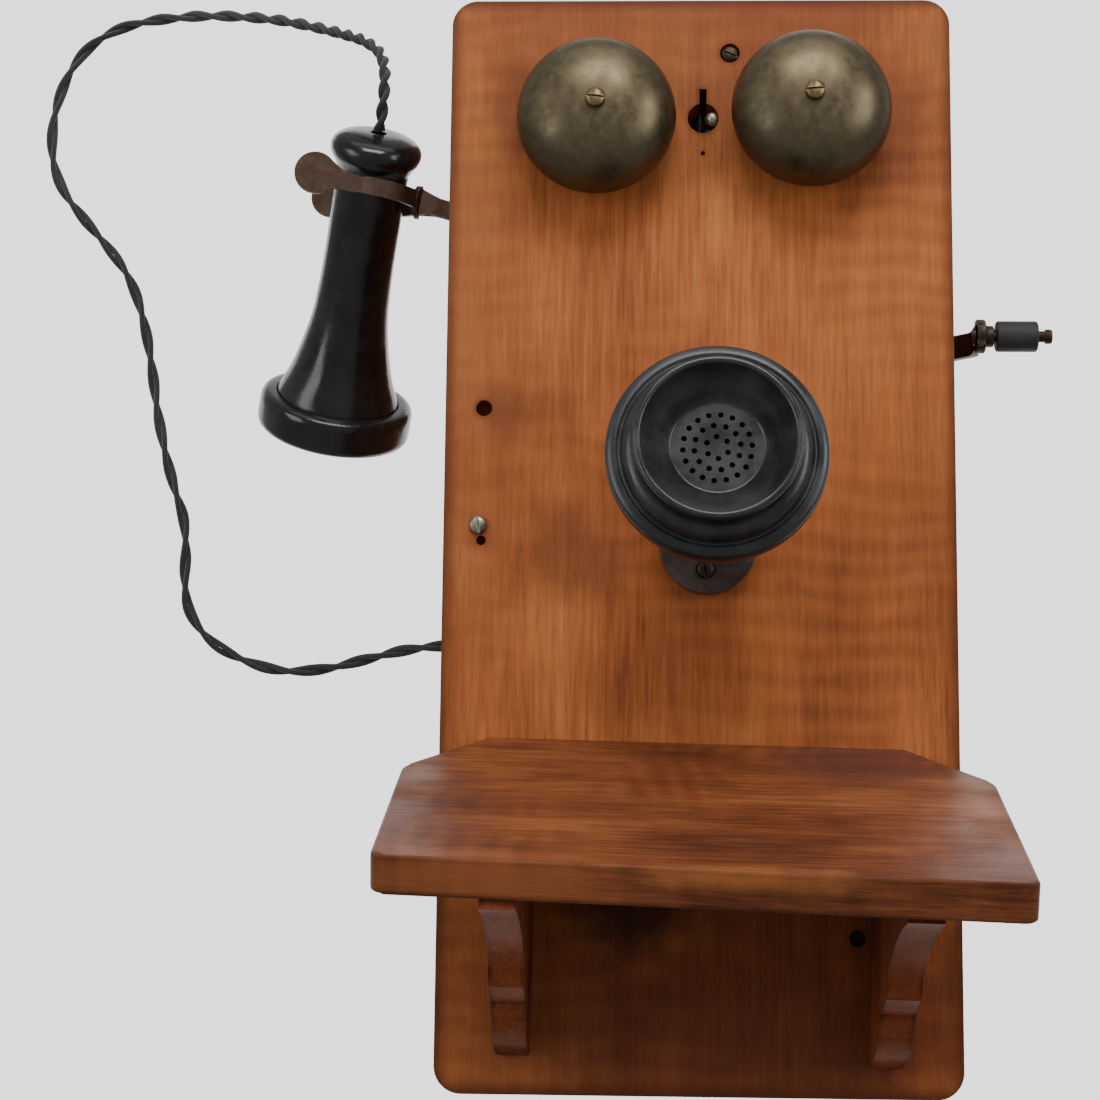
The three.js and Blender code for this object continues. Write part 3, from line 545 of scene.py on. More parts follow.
def wood(name, tones, grain, gloss, stains_and_painted_light=(), coat=0.04, seed=0.0, contrast=1.0, rim=None):
    """Varnished oak of dark, middle and light tones, its grain along z or x.

    Stains and patches of painted shade and light are (centre, radii, strength, tint).
    Rim is a half size in x and z; its border darkens.
    """
    look = Look(name)
    along = {"z": (1, 1, 0.05), "x": (0.05, 1, 1)}[grain]
    wide = {"z": (1, 1, 0.14), "x": (0.14, 1, 1)}[grain]
    shift = (seed, seed * 0.7, seed * 1.3)
    fibre = look.noise(620, 4, 0.62, along, shift)
    pores = look.noise(1250, 3, 0.6, along, shift)
    bands = look.noise(38, 4, 0.55, wide, shift, 0.6)
    cloud = look.noise(13, 5, 0.6, (1, 1, 0.8), shift)
    sway = look.node("TexNoise", {"Vector": look.place, "Scale": 14.0, "Detail": 3.0})
    ripple_place = look.shifted(look.place, look.scaled(sway.outputs[1], (0.03, 0.03, 0.03)))
    ripple = look.node("TexWave", {
        "Vector": look.scaled(ripple_place, {"z": (0.25, 1, 1), "x": (1, 1, 0.25)}[grain]),
        "Scale": 27.0, "Distortion": 1.8, "Detail": 3.0, "Detail Scale": 2.0,
    }, bands_direction="Z" if grain == "z" else "X").outputs[1]
    patches = look.noise(10, 2, 0.5, (1, 1, 0.7), tuple(part + 4.2 for part in shift))
    value = 0.5
    for texture, share in (
        (fibre, look.range(patches, 0.4, 0.6, 0.34 * contrast, 0.78 * contrast)),
        (bands, 0.55 * contrast),
        (cloud, 0.85 * contrast),
        (ripple, look.range(patches, 0.42, 0.56, 0.085 * contrast, 0.0)),
    ):
        value = look.plus(look.share(texture, share), value)
    colour = look.ramp(value, list(zip((0.2, 0.5, 0.8), tones)))
    specks = look.range(pores, 0.57, 0.68)
    dark = tuple(channel * 0.45 for channel in tones[0])
    colour = look.mix(look.times(specks, 0.2), colour, dark)
    ragged = look.share(look.noise(55, 4), 0.9)
    # Stains, painted shadows and painted light, each mixed in over its spot.
    for centre, radii, strength, tint in stains_and_painted_light:
        mask = look.spot(centre, radii, ragged)
        colour = look.mix(look.times(mask, strength), colour, tint)
    worn = look.times(look.edges(0.0036), look.range(look.noise(70, 4), 0.3, 0.6, 0.35))
    colour = look.mix(look.times(worn, 0.6), colour, dark)
    if rim:
        parts = look.node("SeparateXYZ", {0: look.place})
        border = look.math("MAXIMUM", *(
            look.range(
                look.math("ABSOLUTE", parts.outputs[axis]), (half - 6.5) * MM, (half - 0.5) * MM
            )
            for axis, half in zip((0, 2), rim)
        ))
        colour = look.mix(look.times(border, 0.62), colour, dark)
    sheen = look.range(look.noise(30, 4), 0.3, 0.75, gloss - 0.08, gloss + 0.14)
    height = look.plus(look.times(specks, -0.6), look.times(fibre, 0.5))
    normal = look.bump(height, 0.00022, 0.55)
    swell = look.bump(look.noise(9, 2), 0.004, 0.25, normal)
    return look.set(
        base_color=colour, roughness=sheen, normal=swell, coat_weight=coat, coat_roughness=0.3,
        specular_ior_level=0.13,
    )


DOOR_TONES = shades((112, 58, 30), (156, 88, 46), (184, 113, 63))
SHELF_TONES = shades((70, 34, 20), (104, 56, 32), (134, 80, 46))
BRACKET_TONES = shades((72, 32, 15), (110, 53, 26), (136, 74, 38))
# A dark brown for real stains and grime, and also for painted shadows beside the gongs.
STAIN_AND_SHADE = srgb(84, 44, 28)
PURPLE = srgb(84, 48, 44)
# Patches on the door: real stains and grime, painted shadows, and broad darker tones.
DOOR_STAINS_AND_SHADE = (
    ((-53, -120, -11), (30, 40, 34), 0.55, STAIN_AND_SHADE),
    ((-80, -120, 48), (18, 30, 16), 0.5, STAIN_AND_SHADE),
    ((-88, -120, -2), (14, 30, 12), 0.45, STAIN_AND_SHADE),
    ((-66, -120, 52), (22, 30, 10), 0.3, STAIN_AND_SHADE),
    ((28, -120, -24), (26, 30, 14), 0.12, STAIN_AND_SHADE),
    # Painted shadows of the gongs on the door: left of the left gong, right of the right gong.
    ((-76, -120, 178), (22, 30, 36), 0.45, STAIN_AND_SHADE),
    ((82, -120, 178), (16, 30, 36), 0.35, STAIN_AND_SHADE),
    # Darker towards the top of the door, and towards its left edge.
    ((0, -120, 240), (190, 60, 100), 0.62, srgb(118, 60, 32)),
    ((-112, -120, 80), (70, 30, 210), 0.5, srgb(122, 66, 38)),
    ((60, -120, 30), (30, 30, 40), 0.2, srgb(182, 104, 52)),
    # Darker towards the bottom of the door; in part this is painted shade under the shelf.
    ((0, -120, -205), (190, 60, 110), 0.55, srgb(92, 40, 26)),
    # A painted shadow on the door just under the shelf.
    ((-24, -120, -152), (46, 30, 26), 0.75, srgb(38, 17, 11)),
    ((70, -120, -196), (60, 30, 60), 0.35, srgb(70, 30, 16)),
)
SHELF_STAINS_AND_LIGHT = (
    ((62, -20, 0), (46, 60, 16), 0.7, PURPLE),
    ((100, -140, 0), (26, 30, 16), 0.55, PURPLE),
    ((0, -150, 0), (40, 18, 16), 0.25, STAIN_AND_SHADE),
    ((-30, -90, 0), (60, 26, 16), 0.3, STAIN_AND_SHADE),
    # Painted light on the left half of the shelf's front edge.
    ((-70, -158, -7), (80, 16, 16), 0.5, srgb(150, 88, 50)),
    # A painted highlight: a light golden streak along the shelf's front edge, near its top.
    ((12, -163, -2), (60, 9, 8), 0.5, srgb(172, 106, 58)),
)

oak = wood("oak_varnished", DOOR_TONES, "z", 0.44, DOOR_STAINS_AND_SHADE, rim=DOOR_HALF)
oak_case = wood("oak_case", DOOR_TONES, "z", 0.48, seed=3.1)
oak_across = wood("oak_across", DOOR_TONES, "x", 0.48, seed=5.2)
shelf_oak = wood("oak_shelf", SHELF_TONES, "x", 0.46, SHELF_STAINS_AND_LIGHT, 0.02, 1.7, 1.35)
bracket_oak = wood("oak_bracket", BRACKET_TONES, "z", 0.7, coat=0.0, seed=2.3)
bare_oak = wood(
    "oak_bare", shades((126, 88, 54), (164, 122, 80), (186, 146, 100)), "z", 0.72,
    coat=0.0, seed=7.7,
)


def bakelite(name, tone, dust, gloss, tint=(0.18, 0.17, 0.15)):
    """Moulded plastic of a tone, under a film of dust of a tint, with scuffs."""
    look = Look(name)
    cloud = look.noise(60, 5, 0.6)
    fine = look.noise(900, 4, 0.7)
    pale = tuple(value * 1.9 + 0.002 for value in tone)
    colour = look.mix(look.range(cloud, 0.35, 0.7), tone, pale)
    film = look.times(look.range(look.noise(34, 6, 0.7), 0.42, 0.75), dust)
    colour = look.mix(film, colour, tint)
    # Lighter rubbed edges, which also serve as painted highlights along the edges.
    worn = look.times(look.edges(0.0012), look.range(look.noise(140, 4), 0.35, 0.65))
    colour = look.mix(look.times(worn, 0.16), colour, (0.07, 0.062, 0.054))
    scuffs = look.range(look.noise(420, 5, 0.75, (1, 1, 0.25)), 0.52, 0.72, 0.0, 0.16)
    rough = look.plus(look.range(cloud, 0.3, 0.7, gloss - 0.05, gloss + 0.12), scuffs)
    normal = look.bump(fine, 0.00003, 0.5)
    return look.set(
        base_color=colour, roughness=rough, normal=look.bump(cloud, 0.0006, 0.2, normal),
        specular_ior_level=0.4,
    )


def metal(name, tones, rough, metallic, scale, patina, pit, worn=None, brushed=(1, 1, 1)):
    """A metal of dark, middle and light tones, with patches of patina and worn edges."""
    look = Look(name)
    cloud = look.noise(scale, 6, 0.62)
    streak = look.noise(scale * 9, 4, 0.6, brushed)
    value = look.plus(look.times(cloud, 0.72), look.times(streak, 0.28))
    colour = look.ramp(value, list(zip((0.32, 0.5, 0.68), tones)))
    cover = look.range(look.noise(scale * 0.6, 7, 0.7, shift=(3, 1, 2)), 0.46, 0.66)
    colour = look.mix(look.times(cover, 0.75), colour, patina)
    bare = look.times(look.edges(0.0008), look.range(streak, 0.38, 0.58))
    colour = look.mix(look.times(bare, 0.7), colour, worn or tones[2])
    shine = look.plus(
        look.range(cover, 0, 1, rough, rough + 0.18), look.range(streak, 0.3, 0.7, -0.05, 0.08)
    )
    normal = look.bump(streak, pit, 0.5)
    return look.set(
        base_color=colour, metallic=metallic, roughness=shine,
        normal=look.bump(cloud, pit * 8, 0.25, normal),
    )


black_bakelite = bakelite("bakelite_black", (0.005, 0.0053, 0.0064), 0.04, 0.18)
face_bakelite = bakelite("bakelite_dusty", (0.011, 0.0115, 0.013), 0.16, 0.27, (0.07, 0.07, 0.075))
foot_bakelite = bakelite("bakelite_brown_black", (0.03, 0.02, 0.018), 0.4, 0.22, (0.12, 0.1, 0.09))
grip_look = bakelite("grip_charcoal", (0.009, 0.01, 0.009), 0.15, 0.55, (0.02, 0.021, 0.02))
gong_brass = metal(
    "gong_brass", shades((74, 66, 49), (93, 83, 63), (110, 99, 77)), 0.36, 0.85, 26.0,
    srgb(70, 62, 45), 0.00005, srgb(128, 114, 84),
)
screw_brass = metal(
    "screw_brass", shades((88, 76, 54), (124, 108, 78), (156, 138, 100)), 0.38, 1.0, 260.0,
    srgb(58, 48, 34), 0.00004,
)
strap_bronze = metal(
    "strap_bronze", shades((58, 46, 38), (76, 62, 51), (94, 77, 63)), 0.5, 0.75, 90.0,
    srgb(72, 48, 36), 0.00005, srgb(112, 92, 72),
)
black_iron = metal(
    "iron_black", shades((34, 28, 24), (52, 44, 38), (76, 64, 54)), 0.46, 0.8, 160.0,
    srgb(58, 34, 24), 0.00008, srgb(120, 104, 84),
)
steel = metal(
    "steel_dull", shades((118, 112, 102), (150, 144, 134), (184, 178, 168)), 0.33, 1.0, 200.0,
    srgb(96, 76, 58), 0.00004, srgb(206, 202, 192), (1, 1, 0.1),
)
plate_brass = metal(
    "plate_brass", shades((120, 98, 56), (156, 130, 80), (190, 162, 104)), 0.34, 1.0, 110.0,
    srgb(90, 70, 42), 0.00004, None, (1, 0.1, 1),
)
magnet_paint = metal(
    "magnet_paint", shades((66, 22, 18), (92, 32, 26), (112, 44, 34)), 0.42, 0.1, 80.0,
    srgb(48, 24, 20), 0.00008, srgb(130, 118, 108),
)


def cloth(name):
    """Braided cotton, its weave laid along the piece's uv."""
    look = Look(name)
    uv = look.node("TexCoord").outputs["UV"]
    parts = look.node("SeparateXYZ", {0: uv})
    around, along = parts.outputs[0], parts.outputs[1]
    weave = []
    for sign in (1, -1):
        phase = look.plus(look.times(around, 6 * sign), look.times(along, 620.0))
        weave.append(look.math("SINE", look.times(phase, 2 * pi)))
    braid = look.range(look.times(weave[0], weave[1]), -0.6, 0.8)
    fuzz = look.noise(2600, 4, 0.7)
    cloud = look.noise(45, 4)
    value = look.plus(look.times(braid, 0.5), look.times(fuzz, 0.5))
    colour = look.ramp(value, [
        (0.2, (0.006, 0.0075, 0.0075)), (0.55, (0.017, 0.021, 0.021)), (0.9, (0.05, 0.056, 0.054)),
    ])
    faded = look.times(look.range(cloud, 0.45, 0.7), 0.3)
    colour = look.mix(faded, colour, (0.05, 0.056, 0.05))
    height = look.plus(braid, look.times(fuzz, 0.7))
    return look.set(
        base_color=colour, roughness=look.range(fuzz, 0.3, 0.7, 0.8, 0.95),
        normal=look.bump(height, 0.00022, 0.8), sheen_weight=0.25, sheen_roughness=0.5,
        specular_ior_level=0.3,
    )


def fibrous(name, tones, threads=0.0, rough=0.8):
    """Card, paper or wound cloth; threads is how many turns a metre show across x."""
    look = Look(name)
    cloud = look.noise(60, 6, 0.65)
    fine = look.noise(1400, 4, 0.7)
    value = look.plus(look.times(cloud, 0.65), look.times(fine, 0.35))
    colour = look.ramp(value, list(zip((0.3, 0.5, 0.7), tones)))
    height = fine
    if threads:
        wave = look.node("TexWave", {
            "Vector": look.place, "Scale": threads / 6.28, "Distortion": 0.4,
        }, bands_direction="Y").outputs[1]
        colour = look.mix(look.times(wave, 0.35), colour, tones[0])
        height = look.plus(look.times(wave, 0.8), fine)
    worn = look.times(look.edges(0.001), look.range(cloud, 0.4, 0.6))
    colour = look.mix(look.times(worn, 0.5), colour, tones[2])
    return look.set(
        base_color=colour, roughness=look.range(cloud, 0.3, 0.7, rough - 0.1, rough + 0.1),
        normal=look.bump(height, 0.00015, 0.6),
    )


cord_cloth = cloth("cord_cloth")
coil_wrap = fibrous(
    "coil_wrap", shades((44, 30, 26), (66, 46, 38), (92, 68, 54)), 1400.0, 0.6
)
cell_card = fibrous("cell_card", shades((108, 88, 58), (138, 116, 80), (164, 142, 104)))

LOOK_OF_SLOT = {
    "oak": oak_case, "shelf_wood": shelf_oak, "inner_wood": bare_oak, "bakelite": black_bakelite,
    "aged_brass": plate_brass, "strap_metal": strap_bronze, "black_iron": black_iron,
    "steel": steel, "magnet_paint": magnet_paint, "coil_wrap": coil_wrap, "cell_card": cell_card,
    "cord_cloth": cord_cloth,
}
for node_name, node in frame["nodes"].items():
    node.data.materials.clear()
    node.data.materials.append(LOOK_OF_SLOT[SLOT_OF[node_name]])
# The capsule is seen only through the holes of the mouthpiece, where all is in shade; its dark iron
# is painted shade.
frame["nodes"]["transmitter_capsule"].data.materials[0] = black_iron


def show(piece, body, look, node):
    """Gives the piece its material and body; it stands for the CAD node."""
    piece.data.materials.clear()
    piece.data.materials.append(look)
    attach(piece, body)
    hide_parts(node)


receiver_cord.data.materials.append(cord_cloth)
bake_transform(receiver_cord)
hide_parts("receiver_cord")

# ---- door
THROUGH = DOOR_BACK + 1.6
DOOR_HOLES = (  # x and z, radius, the y of its bottom, and its number of sides
    (*CLAPPER_HOLE, THROUGH, 48),
    (1.3, 160.3, 0.9, -115, 16),
    (*TOP_SCREW, 4.2, -117.4, 32),
    (-89, 50.6, 3.4, -112, 32),
    (*LOCK_SCREW, 2.4, THROUGH, 32),
    (-89.4, -4.9, 2.0, -114, 24),
    (63.5, -164.9, 3.3, -110, 32),
)


def door_panel():
    x, z = (half - DOOR_CORNER for half in DOOR_HALF)
    outline = []
    for turn, (across, up) in enumerate(((x, -z), (x, z), (-x, z), (-x, -z))):
        outline += arc(across, up, DOOR_CORNER, 90 * turn - 90, 90 * turn, 10)
    panel = baked(plate(
        "door_panel_oak", outline, DOOR_BACK - DOOR_FRONT,
        at(0, DOOR_BACK, 0) @ FACING, 5.0, 6, True,
    ))
    start = DOOR_FRONT - 1
    tools = [
        rod("tool", "y", radius, start, end, (x, z), sides)
        for x, z, radius, end, sides in DOOR_HOLES
    ]
    x, z, _ = CLAPPER_HOLE
    tools.append(block("tool", x - 1.5, x + 1.5, start, THROUGH, z, 188.4))
    for z in (HINGE_HEIGHT, -HINGE_HEIGHT):
        low, high = z - HINGE_LEAF / 2, z + HINGE_LEAF / 2
        tools.append(block("tool", 99.3, 120, DOOR_BACK - 1.8, CASE_FRONT, low, high))
    return boolean(panel, tools)


show(door_panel(), "door", oak, "door_panel")


def gong(side):
    """A hollow bell whose curve is a rounded square."""
    x, z = GONGS[side]
    place = at(x, GONG_RIM, z) @ FORWARD
    outer, inner = [], []
    for step in range(31):
        angle = pi / 2 * step / 30
        across, up = cos(angle) ** (2 / 2.3), sin(angle) ** (2 / 2.3)
        outer.append((max(33.15 * across, 2.6), 24.45 * up))
        inner.append((max(31.6 * across, 2.6), 22.9 * up))
    profile = [(32.3, 0.0), (32.8, 0.1), *outer[1:], *inner[:0:-1], (31.8, 0.1)]
    return turned(f"gong_{side}_turned", profile, place, 144, 40)


def slotted_screw(node, look, centre, seat, radius, height, shank, end, slot_angle):
    """A round-head screw in the door: its head rises from y = seat, and its tip is at y = end."""
    dome = []
    for step in range(9):
        angle = pi / 2 * step / 8
        rise = 0.25 * height + 0.75 * height * sin(angle)
        dome.append((radius * cos(angle) ** 0.8, seat - rise))
    dome[-1] = (0, dome[-1][1])
    profile = [(0, end), (shank, end), (shank, seat), (radius * 0.97, seat)] + dome
    screw = turned(f"{node}_head", profile, None, 64, 40)
    slot = block(
        "tool", -radius - 1, radius + 1, seat - height - 1, seat - 0.5 * height, -0.45, 0.45
    )
    slot.data.transform(Matrix.Rotation(slot_angle, 4, "Y"))
    boolean(screw, [slot], angle=32)
    screw.matrix_world = at(centre[0] * MM, 0, centre[1] * MM)
    show(screw, "door", look, node)


def gong_post(side):
    x, z = GONGS[side]
    place = at(x, FIXED_FACE, z) @ FORWARD
    profile = [
        (0, 0), (8.7, 0), (9, 0.4), (9, 1.5), (8.5, 2), (6, 2.4), (5.1, 3.6), (5, 6), (5, 35.4),
        (4.7, 35.7), (2.45, 35.7), (2.45, 23), (0, 23),
    ]
    return turned(f"gong_post_{side}_turned", profile, place, 48, 30)


for side, slot_angle in (("left", 0.12), ("right", -0.08)):
    show(gong(side), "door", gong_brass, f"gong_{side}")
    show(gong_post(side), "door", screw_brass, f"gong_post_{side}")
    slotted_screw(
        f"gong_screw_{side}", screw_brass, GONGS[side], -158.3, 4.05, 2.5, 1.95, -147.1, slot_angle
    )
slotted_screw("top_plug_screw", black_iron, TOP_SCREW, -117.9, 3.7, 1.9, 0.5, -117.85, 0.35)
slotted_screw("door_lock_screw", steel, LOCK_SCREW, -120.35, 3.65, 2.1, 1.85, -92.1, 1.45)


def clapper():
    """The ball on its bent wire, with the armature bar and the hub that it turns on."""
    x, y, z = CLAPPER_PIVOT
    lean = (CLAPPER_BALL[0] - x) / (y - CLAPPER_BALL[1])
    line = spline([
        (x + lean * 1, -97, z), (x + lean * 12, -108, z), (x + lean * 25, -121, z - 0.2),
        (x + lean * 34, -130, z - 1.8), (x + lean * 39, -135, z - 4), CLAPPER_BALL,
    ], 8)
    wire = swept("wire", line, arc(0, 0, 0.78, 0, 360, 14)[:-1])
    ball = turned("ball", arc(0, 0, 2.75, -90, 90, 16), at(*CLAPPER_BALL), 40)
    bar = block("bar", x - 11.4, x + 11.4, y - 1.45, y + 1.45, z - 3.4, z + 3.4, 0.5)
    hub = rod("hub", "z", 2.95, z - 11.4, z + 11.4, (x, y), 32, 0.3)
    return merged("clapper_and_armature", [wire, ball, bar, hub])


show(clapper(), "clapper", steel, "clapper")


# ---- shelf and brackets
SHELF_TILT = radians(SHELF["slope"])
SHELF_REAR = at(0, 0, SHELF["rear"]) @ Matrix.Rotation(radians(SHELF["roll"]), 4, "Y")


def bracket_outline():
    """Side view (y, z relative to the shelf's rear edge) of a scrolled bracket."""
    def under(y):
        """The underside of the shelf, less the gap that the bracket leaves to it."""
        return (
            tan(SHELF_TILT) * (y - FIXED_FACE) - SHELF["thick"] / cos(SHELF_TILT) - 0.3
        )

    def bow(control, end, steps=8):
        """Adds a curve from the last point, drawn towards the control point."""
        start = points[-1]
        for step in range(1, steps + 1):
            t = step / steps
            points.append(tuple(
                (1 - t) ** 2 * a + 2 * t * (1 - t) * b + t * t * c
                for a, b, c in zip(start, control, end)
            ))

    points = [(FIXED_FACE, under(FIXED_FACE)), (-262, under(-262)), (-263, under(-262) - 4)]
    bow((-243, -72.6), (-224, -77.6))
    bow((-199, -83.6), (-190, -93.6))
    points += [(-187, -98.6), (-167, -104.6)]
    bow((-161, -116.6), (-146, -120.6))
    bow((-132, -123.6), (-124, -126.1), 4)
    points.append((FIXED_FACE, -126.1))
    return points


def shelf_board():
    """The sloping board, its underside lowest, with its rear cut plumb along the door."""
    half = SHELF["half"]
    outline = [(-84, 0), (84, 0)]
    for side, depth in SHELF_DEPTH.items():
        edge = [(half - 3, 42.5), (half - 0.7, 45.5), (half, 49), (half, depth - 5),
                (half - 0.4, depth - 3), (half - 1.5, depth - 1.5), (half - 3, depth - 0.4),
                (half - 5, depth)]
        outline += [(-x, y) for x, y in reversed(edge)] if side == "left" else edge
    board = plate("shelf_board_oak", [(x, -y) for x, y in outline], SHELF["thick"], None, 1.5, 4)
    board.data.transform(at(0, 0, -SHELF["thick"] * MM))
    slope = at(-1, FIXED_FACE, 0) @ Matrix.Rotation(SHELF_TILT, 4, "X")
    board.matrix_world = metres(SHELF_REAR @ slope)
    return boolean(board, [block("tool", -130, 130, FIXED_FACE, -60, -140, -40)])


show(shelf_board(), "door", shelf_oak, "shelf_board")
for side, x in BRACKETS.items():
    place = SHELF_REAR @ at(x - BRACKET_WIDTH / 2, 0, 0) @ SIDEWAYS
    bracket = baked(plate(
        f"shelf_bracket_{side}_oak", bracket_outline(), BRACKET_WIDTH, place, 0.9, 3, False, 28
    ))
    show(bracket, "door", bracket_oak, f"shelf_bracket_{side}")


# ---- transmitter
AHEAD = at(*TRANSMITTER_PIVOT) @ Matrix.Rotation(
    pi - radians(TRANSMITTER_TILT), 4, "X"
) @ at(0, 30, 0)


def faceplate():
    profile = [(26, 0)] + spline([(41.2, 0), (42.5, 0.8), (42.95, 2), (42.95, 5.6), (42.4, 7.2),
                                  (41.2, 8.1), (39.8, 8.6), (38.9, 8.7)], 4)
    profile += spline([(38.2, 8.3), (37.6, 8.2), (37.0, 8.8), (36.4, 10), (35.6, 11.4),
                       (34.2, 12.6), (32.4, 13.3), (30.4, 13.5)], 4)
    profile += [(26, 13.35)]
    return turned("transmitter_faceplate_turned", profile, AHEAD, 128, 40)


def mouthpiece():
    """The funnel, with a disc in its throat that has three rings of holes."""
    funnel = spline([(17.9, 10.85), (18.6, 11.3), (20.2, 12.9), (22.4, 15.4), (25, 18.2),
                     (27.4, 21.2), (28.9, 23.5), (29.6, 24.6), (30.6, 25.05), (31.7, 24.8),
                     (32.35, 24), (32.4, 22.6), (31.7, 20.6), (30, 18.2), (28, 16), (26.6, 14.7),
                     (25.7, 13.9)], 4)
    disc = [(0, 10.8), (6, 10.8), (12, 10.78), (17.4, 10.75)]
    profile = disc + funnel + [(25.65, 2.1), (22.5, 2.1), (22.5, 8.5), (0, 8.5)]
    piece = turned("transmitter_mouthpiece_turned", profile, None, 120, 40)
    tools = []
    for radius, count in ((4.4, 6), (8.9, 12), (13.2, 18)):
        for index in range(count):
            turn = 2 * pi * index / count + radius * 0.1
            centre = (radius * cos(turn), radius * sin(turn))
            tools.append(rod("tool", "y", 1.12, 7, 12, centre, 16))
    punch = merged("tool", tools)
    punch.modifiers.clear()
    boolean(piece, [punch], angle=40)
    piece.matrix_world = metres(AHEAD)
    return piece


def transmitter_cup():
    outer = spline([(19, -24), (24, -23.3), (28.5, -20.8), (31.6, -17.4), (33.3, -13), (33.9, -8),
                    (33.95, -0.4)], 5)
    profile = [(0, -24), *outer, (31.6, -0.4), (31.2, -12), (28.2, -17.8), (20, -21.4), (0, -21.4)]
    shell = turned("cup", profile, AHEAD, 112, 40)
    ear = [(-23.4, -4.95), *arc(-30, 0, 4.95, -90, -270, 15), (-23.4, 4.95)]
    ears = [
        plate("ear", ear, 4.3, AHEAD @ at(low, 0, 0) @ SIDEWAYS, 0.6)
        for low in (-8.75, 4.45)
    ]
    return merged("transmitter_cup_and_ears", [shell, *ears])


def transmitter_foot():
    """An oblong base with a neck that leans out of it to the lug of the pivot."""
    shape = arc(FOOT_X, 26, 19.6, 0, 180, 24) + arc(FOOT_X, -7.3, 19.6, 180, 360, 24)
    base = plate("base", shape, 5.0, at(0, -120.35, 0) @ FACING, 2.4, 5, True)
    profile = [(0, -1)] + spline([(13.5, -1), (11.2, 1.6), (9.6, 5), (8.6, 10), (8.1, 16),
                                  (7.9, 22), (7.2, 26)], 5) + [(5.5, 27.6), (0, 28.2)]
    lean = Matrix.Rotation(pi - 0.03, 4, "X")
    neck = turned("neck", profile, at(4.3, -124.2, 12.6) @ lean, 64)
    _, pivot_y, pivot_z = TRANSMITTER_PIVOT
    lug = rod("lug", "x", 4.95, 1.25, 9.15, (pivot_y, pivot_z), 48, 0.4)
    web = block("web", 1.25, 9.15, pivot_y, -145, pivot_z - 4.9, pivot_z + 4.9, 0.6)
    boolean(base, [
        rod("tool", "y", 3.9, -127, -123.9, centre, 32) for centre in FOOT_SCREWS.values()
    ])
    return merged("transmitter_foot_cast", [base, neck, lug, web])


show(faceplate(), "transmitter", face_bakelite, "transmitter_faceplate")
show(mouthpiece(), "transmitter", face_bakelite, "transmitter_mouthpiece")
show(transmitter_cup(), "transmitter", black_bakelite, "transmitter_cup")
pivot_pin = turned("transmitter_pivot_pin_turned", [
    (0, -10.5), (3.0, -10.4), (3.5, -10), (3.55, -9.15), (2.5, -9.15), (2.5, 10), (2.2, 10.3),
    (0, 10.35),
], at(*TRANSMITTER_PIVOT) @ ALONG_X, 48)
show(pivot_pin, "transmitter", steel, "transmitter_pivot_pin")
show(transmitter_foot(), "door", foot_bakelite, "transmitter_foot")
for level, centre in FOOT_SCREWS.items():
    slotted_screw(
        f"foot_screw_{level}", black_iron, centre, -125.4, 3.55, 1.9, 1.85, -121.1, 1.35
    )


# ---- crank
ON_SHAFT = at(0, *CRANK) @ ALONG_X
ON_PIN = at(0, *CRANK_PIN) @ ALONG_X


def crank_arm():
    strap = [
        (100.6, -45.2), (103.4, -45.2), (103.5, -59.6), (104.3, -62.2), (119.6, -75.4),
        (120.5, -77.6), (120.5, -98.4), (117.7, -98.4), (117.7, -79.4), (116.8, -77.2),
        (101.4, -63.8), (100.6, -61.8),
    ]
    arm = plate("arm", strap, 10.3, at(0, 0, CRANK[1] - 5.15), 0.5, 3)
    hub = turned("hub", [
        (0, 99.7), (6.6, 99.7), (6.95, 100.1), (6.95, 103.9), (6.4, 104.4), (4.4, 104.4),
        (0, 104.4),
    ], ON_SHAFT, 56)
    eye = turned("eye", [
        (0, 117.7), (6.9, 117.7), (7.2, 118.1), (7.2, 121.1), (6.6, 121.6), (0, 121.6),
    ], ON_PIN, 56)
    return merged("crank_arm_bent", [arm, hub, eye])


crank_pin = turned("crank_pin_turned", [
    (0, 116.5), (3.6, 116.5), (3.95, 116.8), (3.95, 117.25), (2.4, 117.3), (2.4, 121.7),
    (4.4, 121.8), (4.6, 122.2), (4.6, 124.6), (4.3, 125), (2.4, 125.1), (2.4, 146.7),
    (3.0, 146.9), (3.1, 147.3), (3.1, 149.2), (2.7, 149.8), (2.0, 149.95), (0, 149.95),
], ON_PIN, 56, 30)
crank_grip = turned("crank_grip_turned", [
    (2.85, 126.1), (5.8, 126.1), (6.4, 126.5), (6.55, 127.1), (6.55, 142.6), (6.4, 143.2),
    (5.8, 143.6), (2.85, 143.6),
], ON_PIN, 72, 30)
show(crank_arm(), "crank", black_iron, "crank_arm")
show(crank_pin, "crank", black_iron, "crank_pin")
show(crank_grip, "crank_grip", grip_look, "crank_grip")


# ---- hook and receiver
OUT = (Vector((-1, 0, 0)) + UP * UP.x).normalized()
ACROSS = OUT.cross(UP)
RECEIVER = at(*NECK) @ Matrix((OUT, UP, ACROSS)).transposed().to_4x4()


def outward(origin, slope):
    """A frame with +X outwards at a slope above the level, +Y up and +Z into the wall."""
    angle = radians(slope)
    cosine, sine = cos(angle), sin(angle)
    turn = Matrix(((-cosine, sine, 0, 0), (0, 0, 1, 0), (sine, cosine, 0, 0), (0, 0, 0, 1)))
    return at(*origin) @ turn


FORK_OUTER = FORK["gap"] + FORK["strap"]
FORK_LEVEL = outward(FORK_CENTRE, FORK["slope"])
FORK_PLACE = FORK_LEVEL @ Matrix.Rotation(-radians(FORK["roll"]), 4, "X")
ARM_ROOT = FORK_LEVEL @ Vector((-FORK_OUTER, 0, 0))
HOOK_PIVOT = outward(ARM_ROOT, HOOK_ARM["slope"]) @ Vector((-HOOK_ARM["length"], 0, 0))
ARM_PLACE = outward(HOOK_PIVOT, HOOK_ARM["slope"])


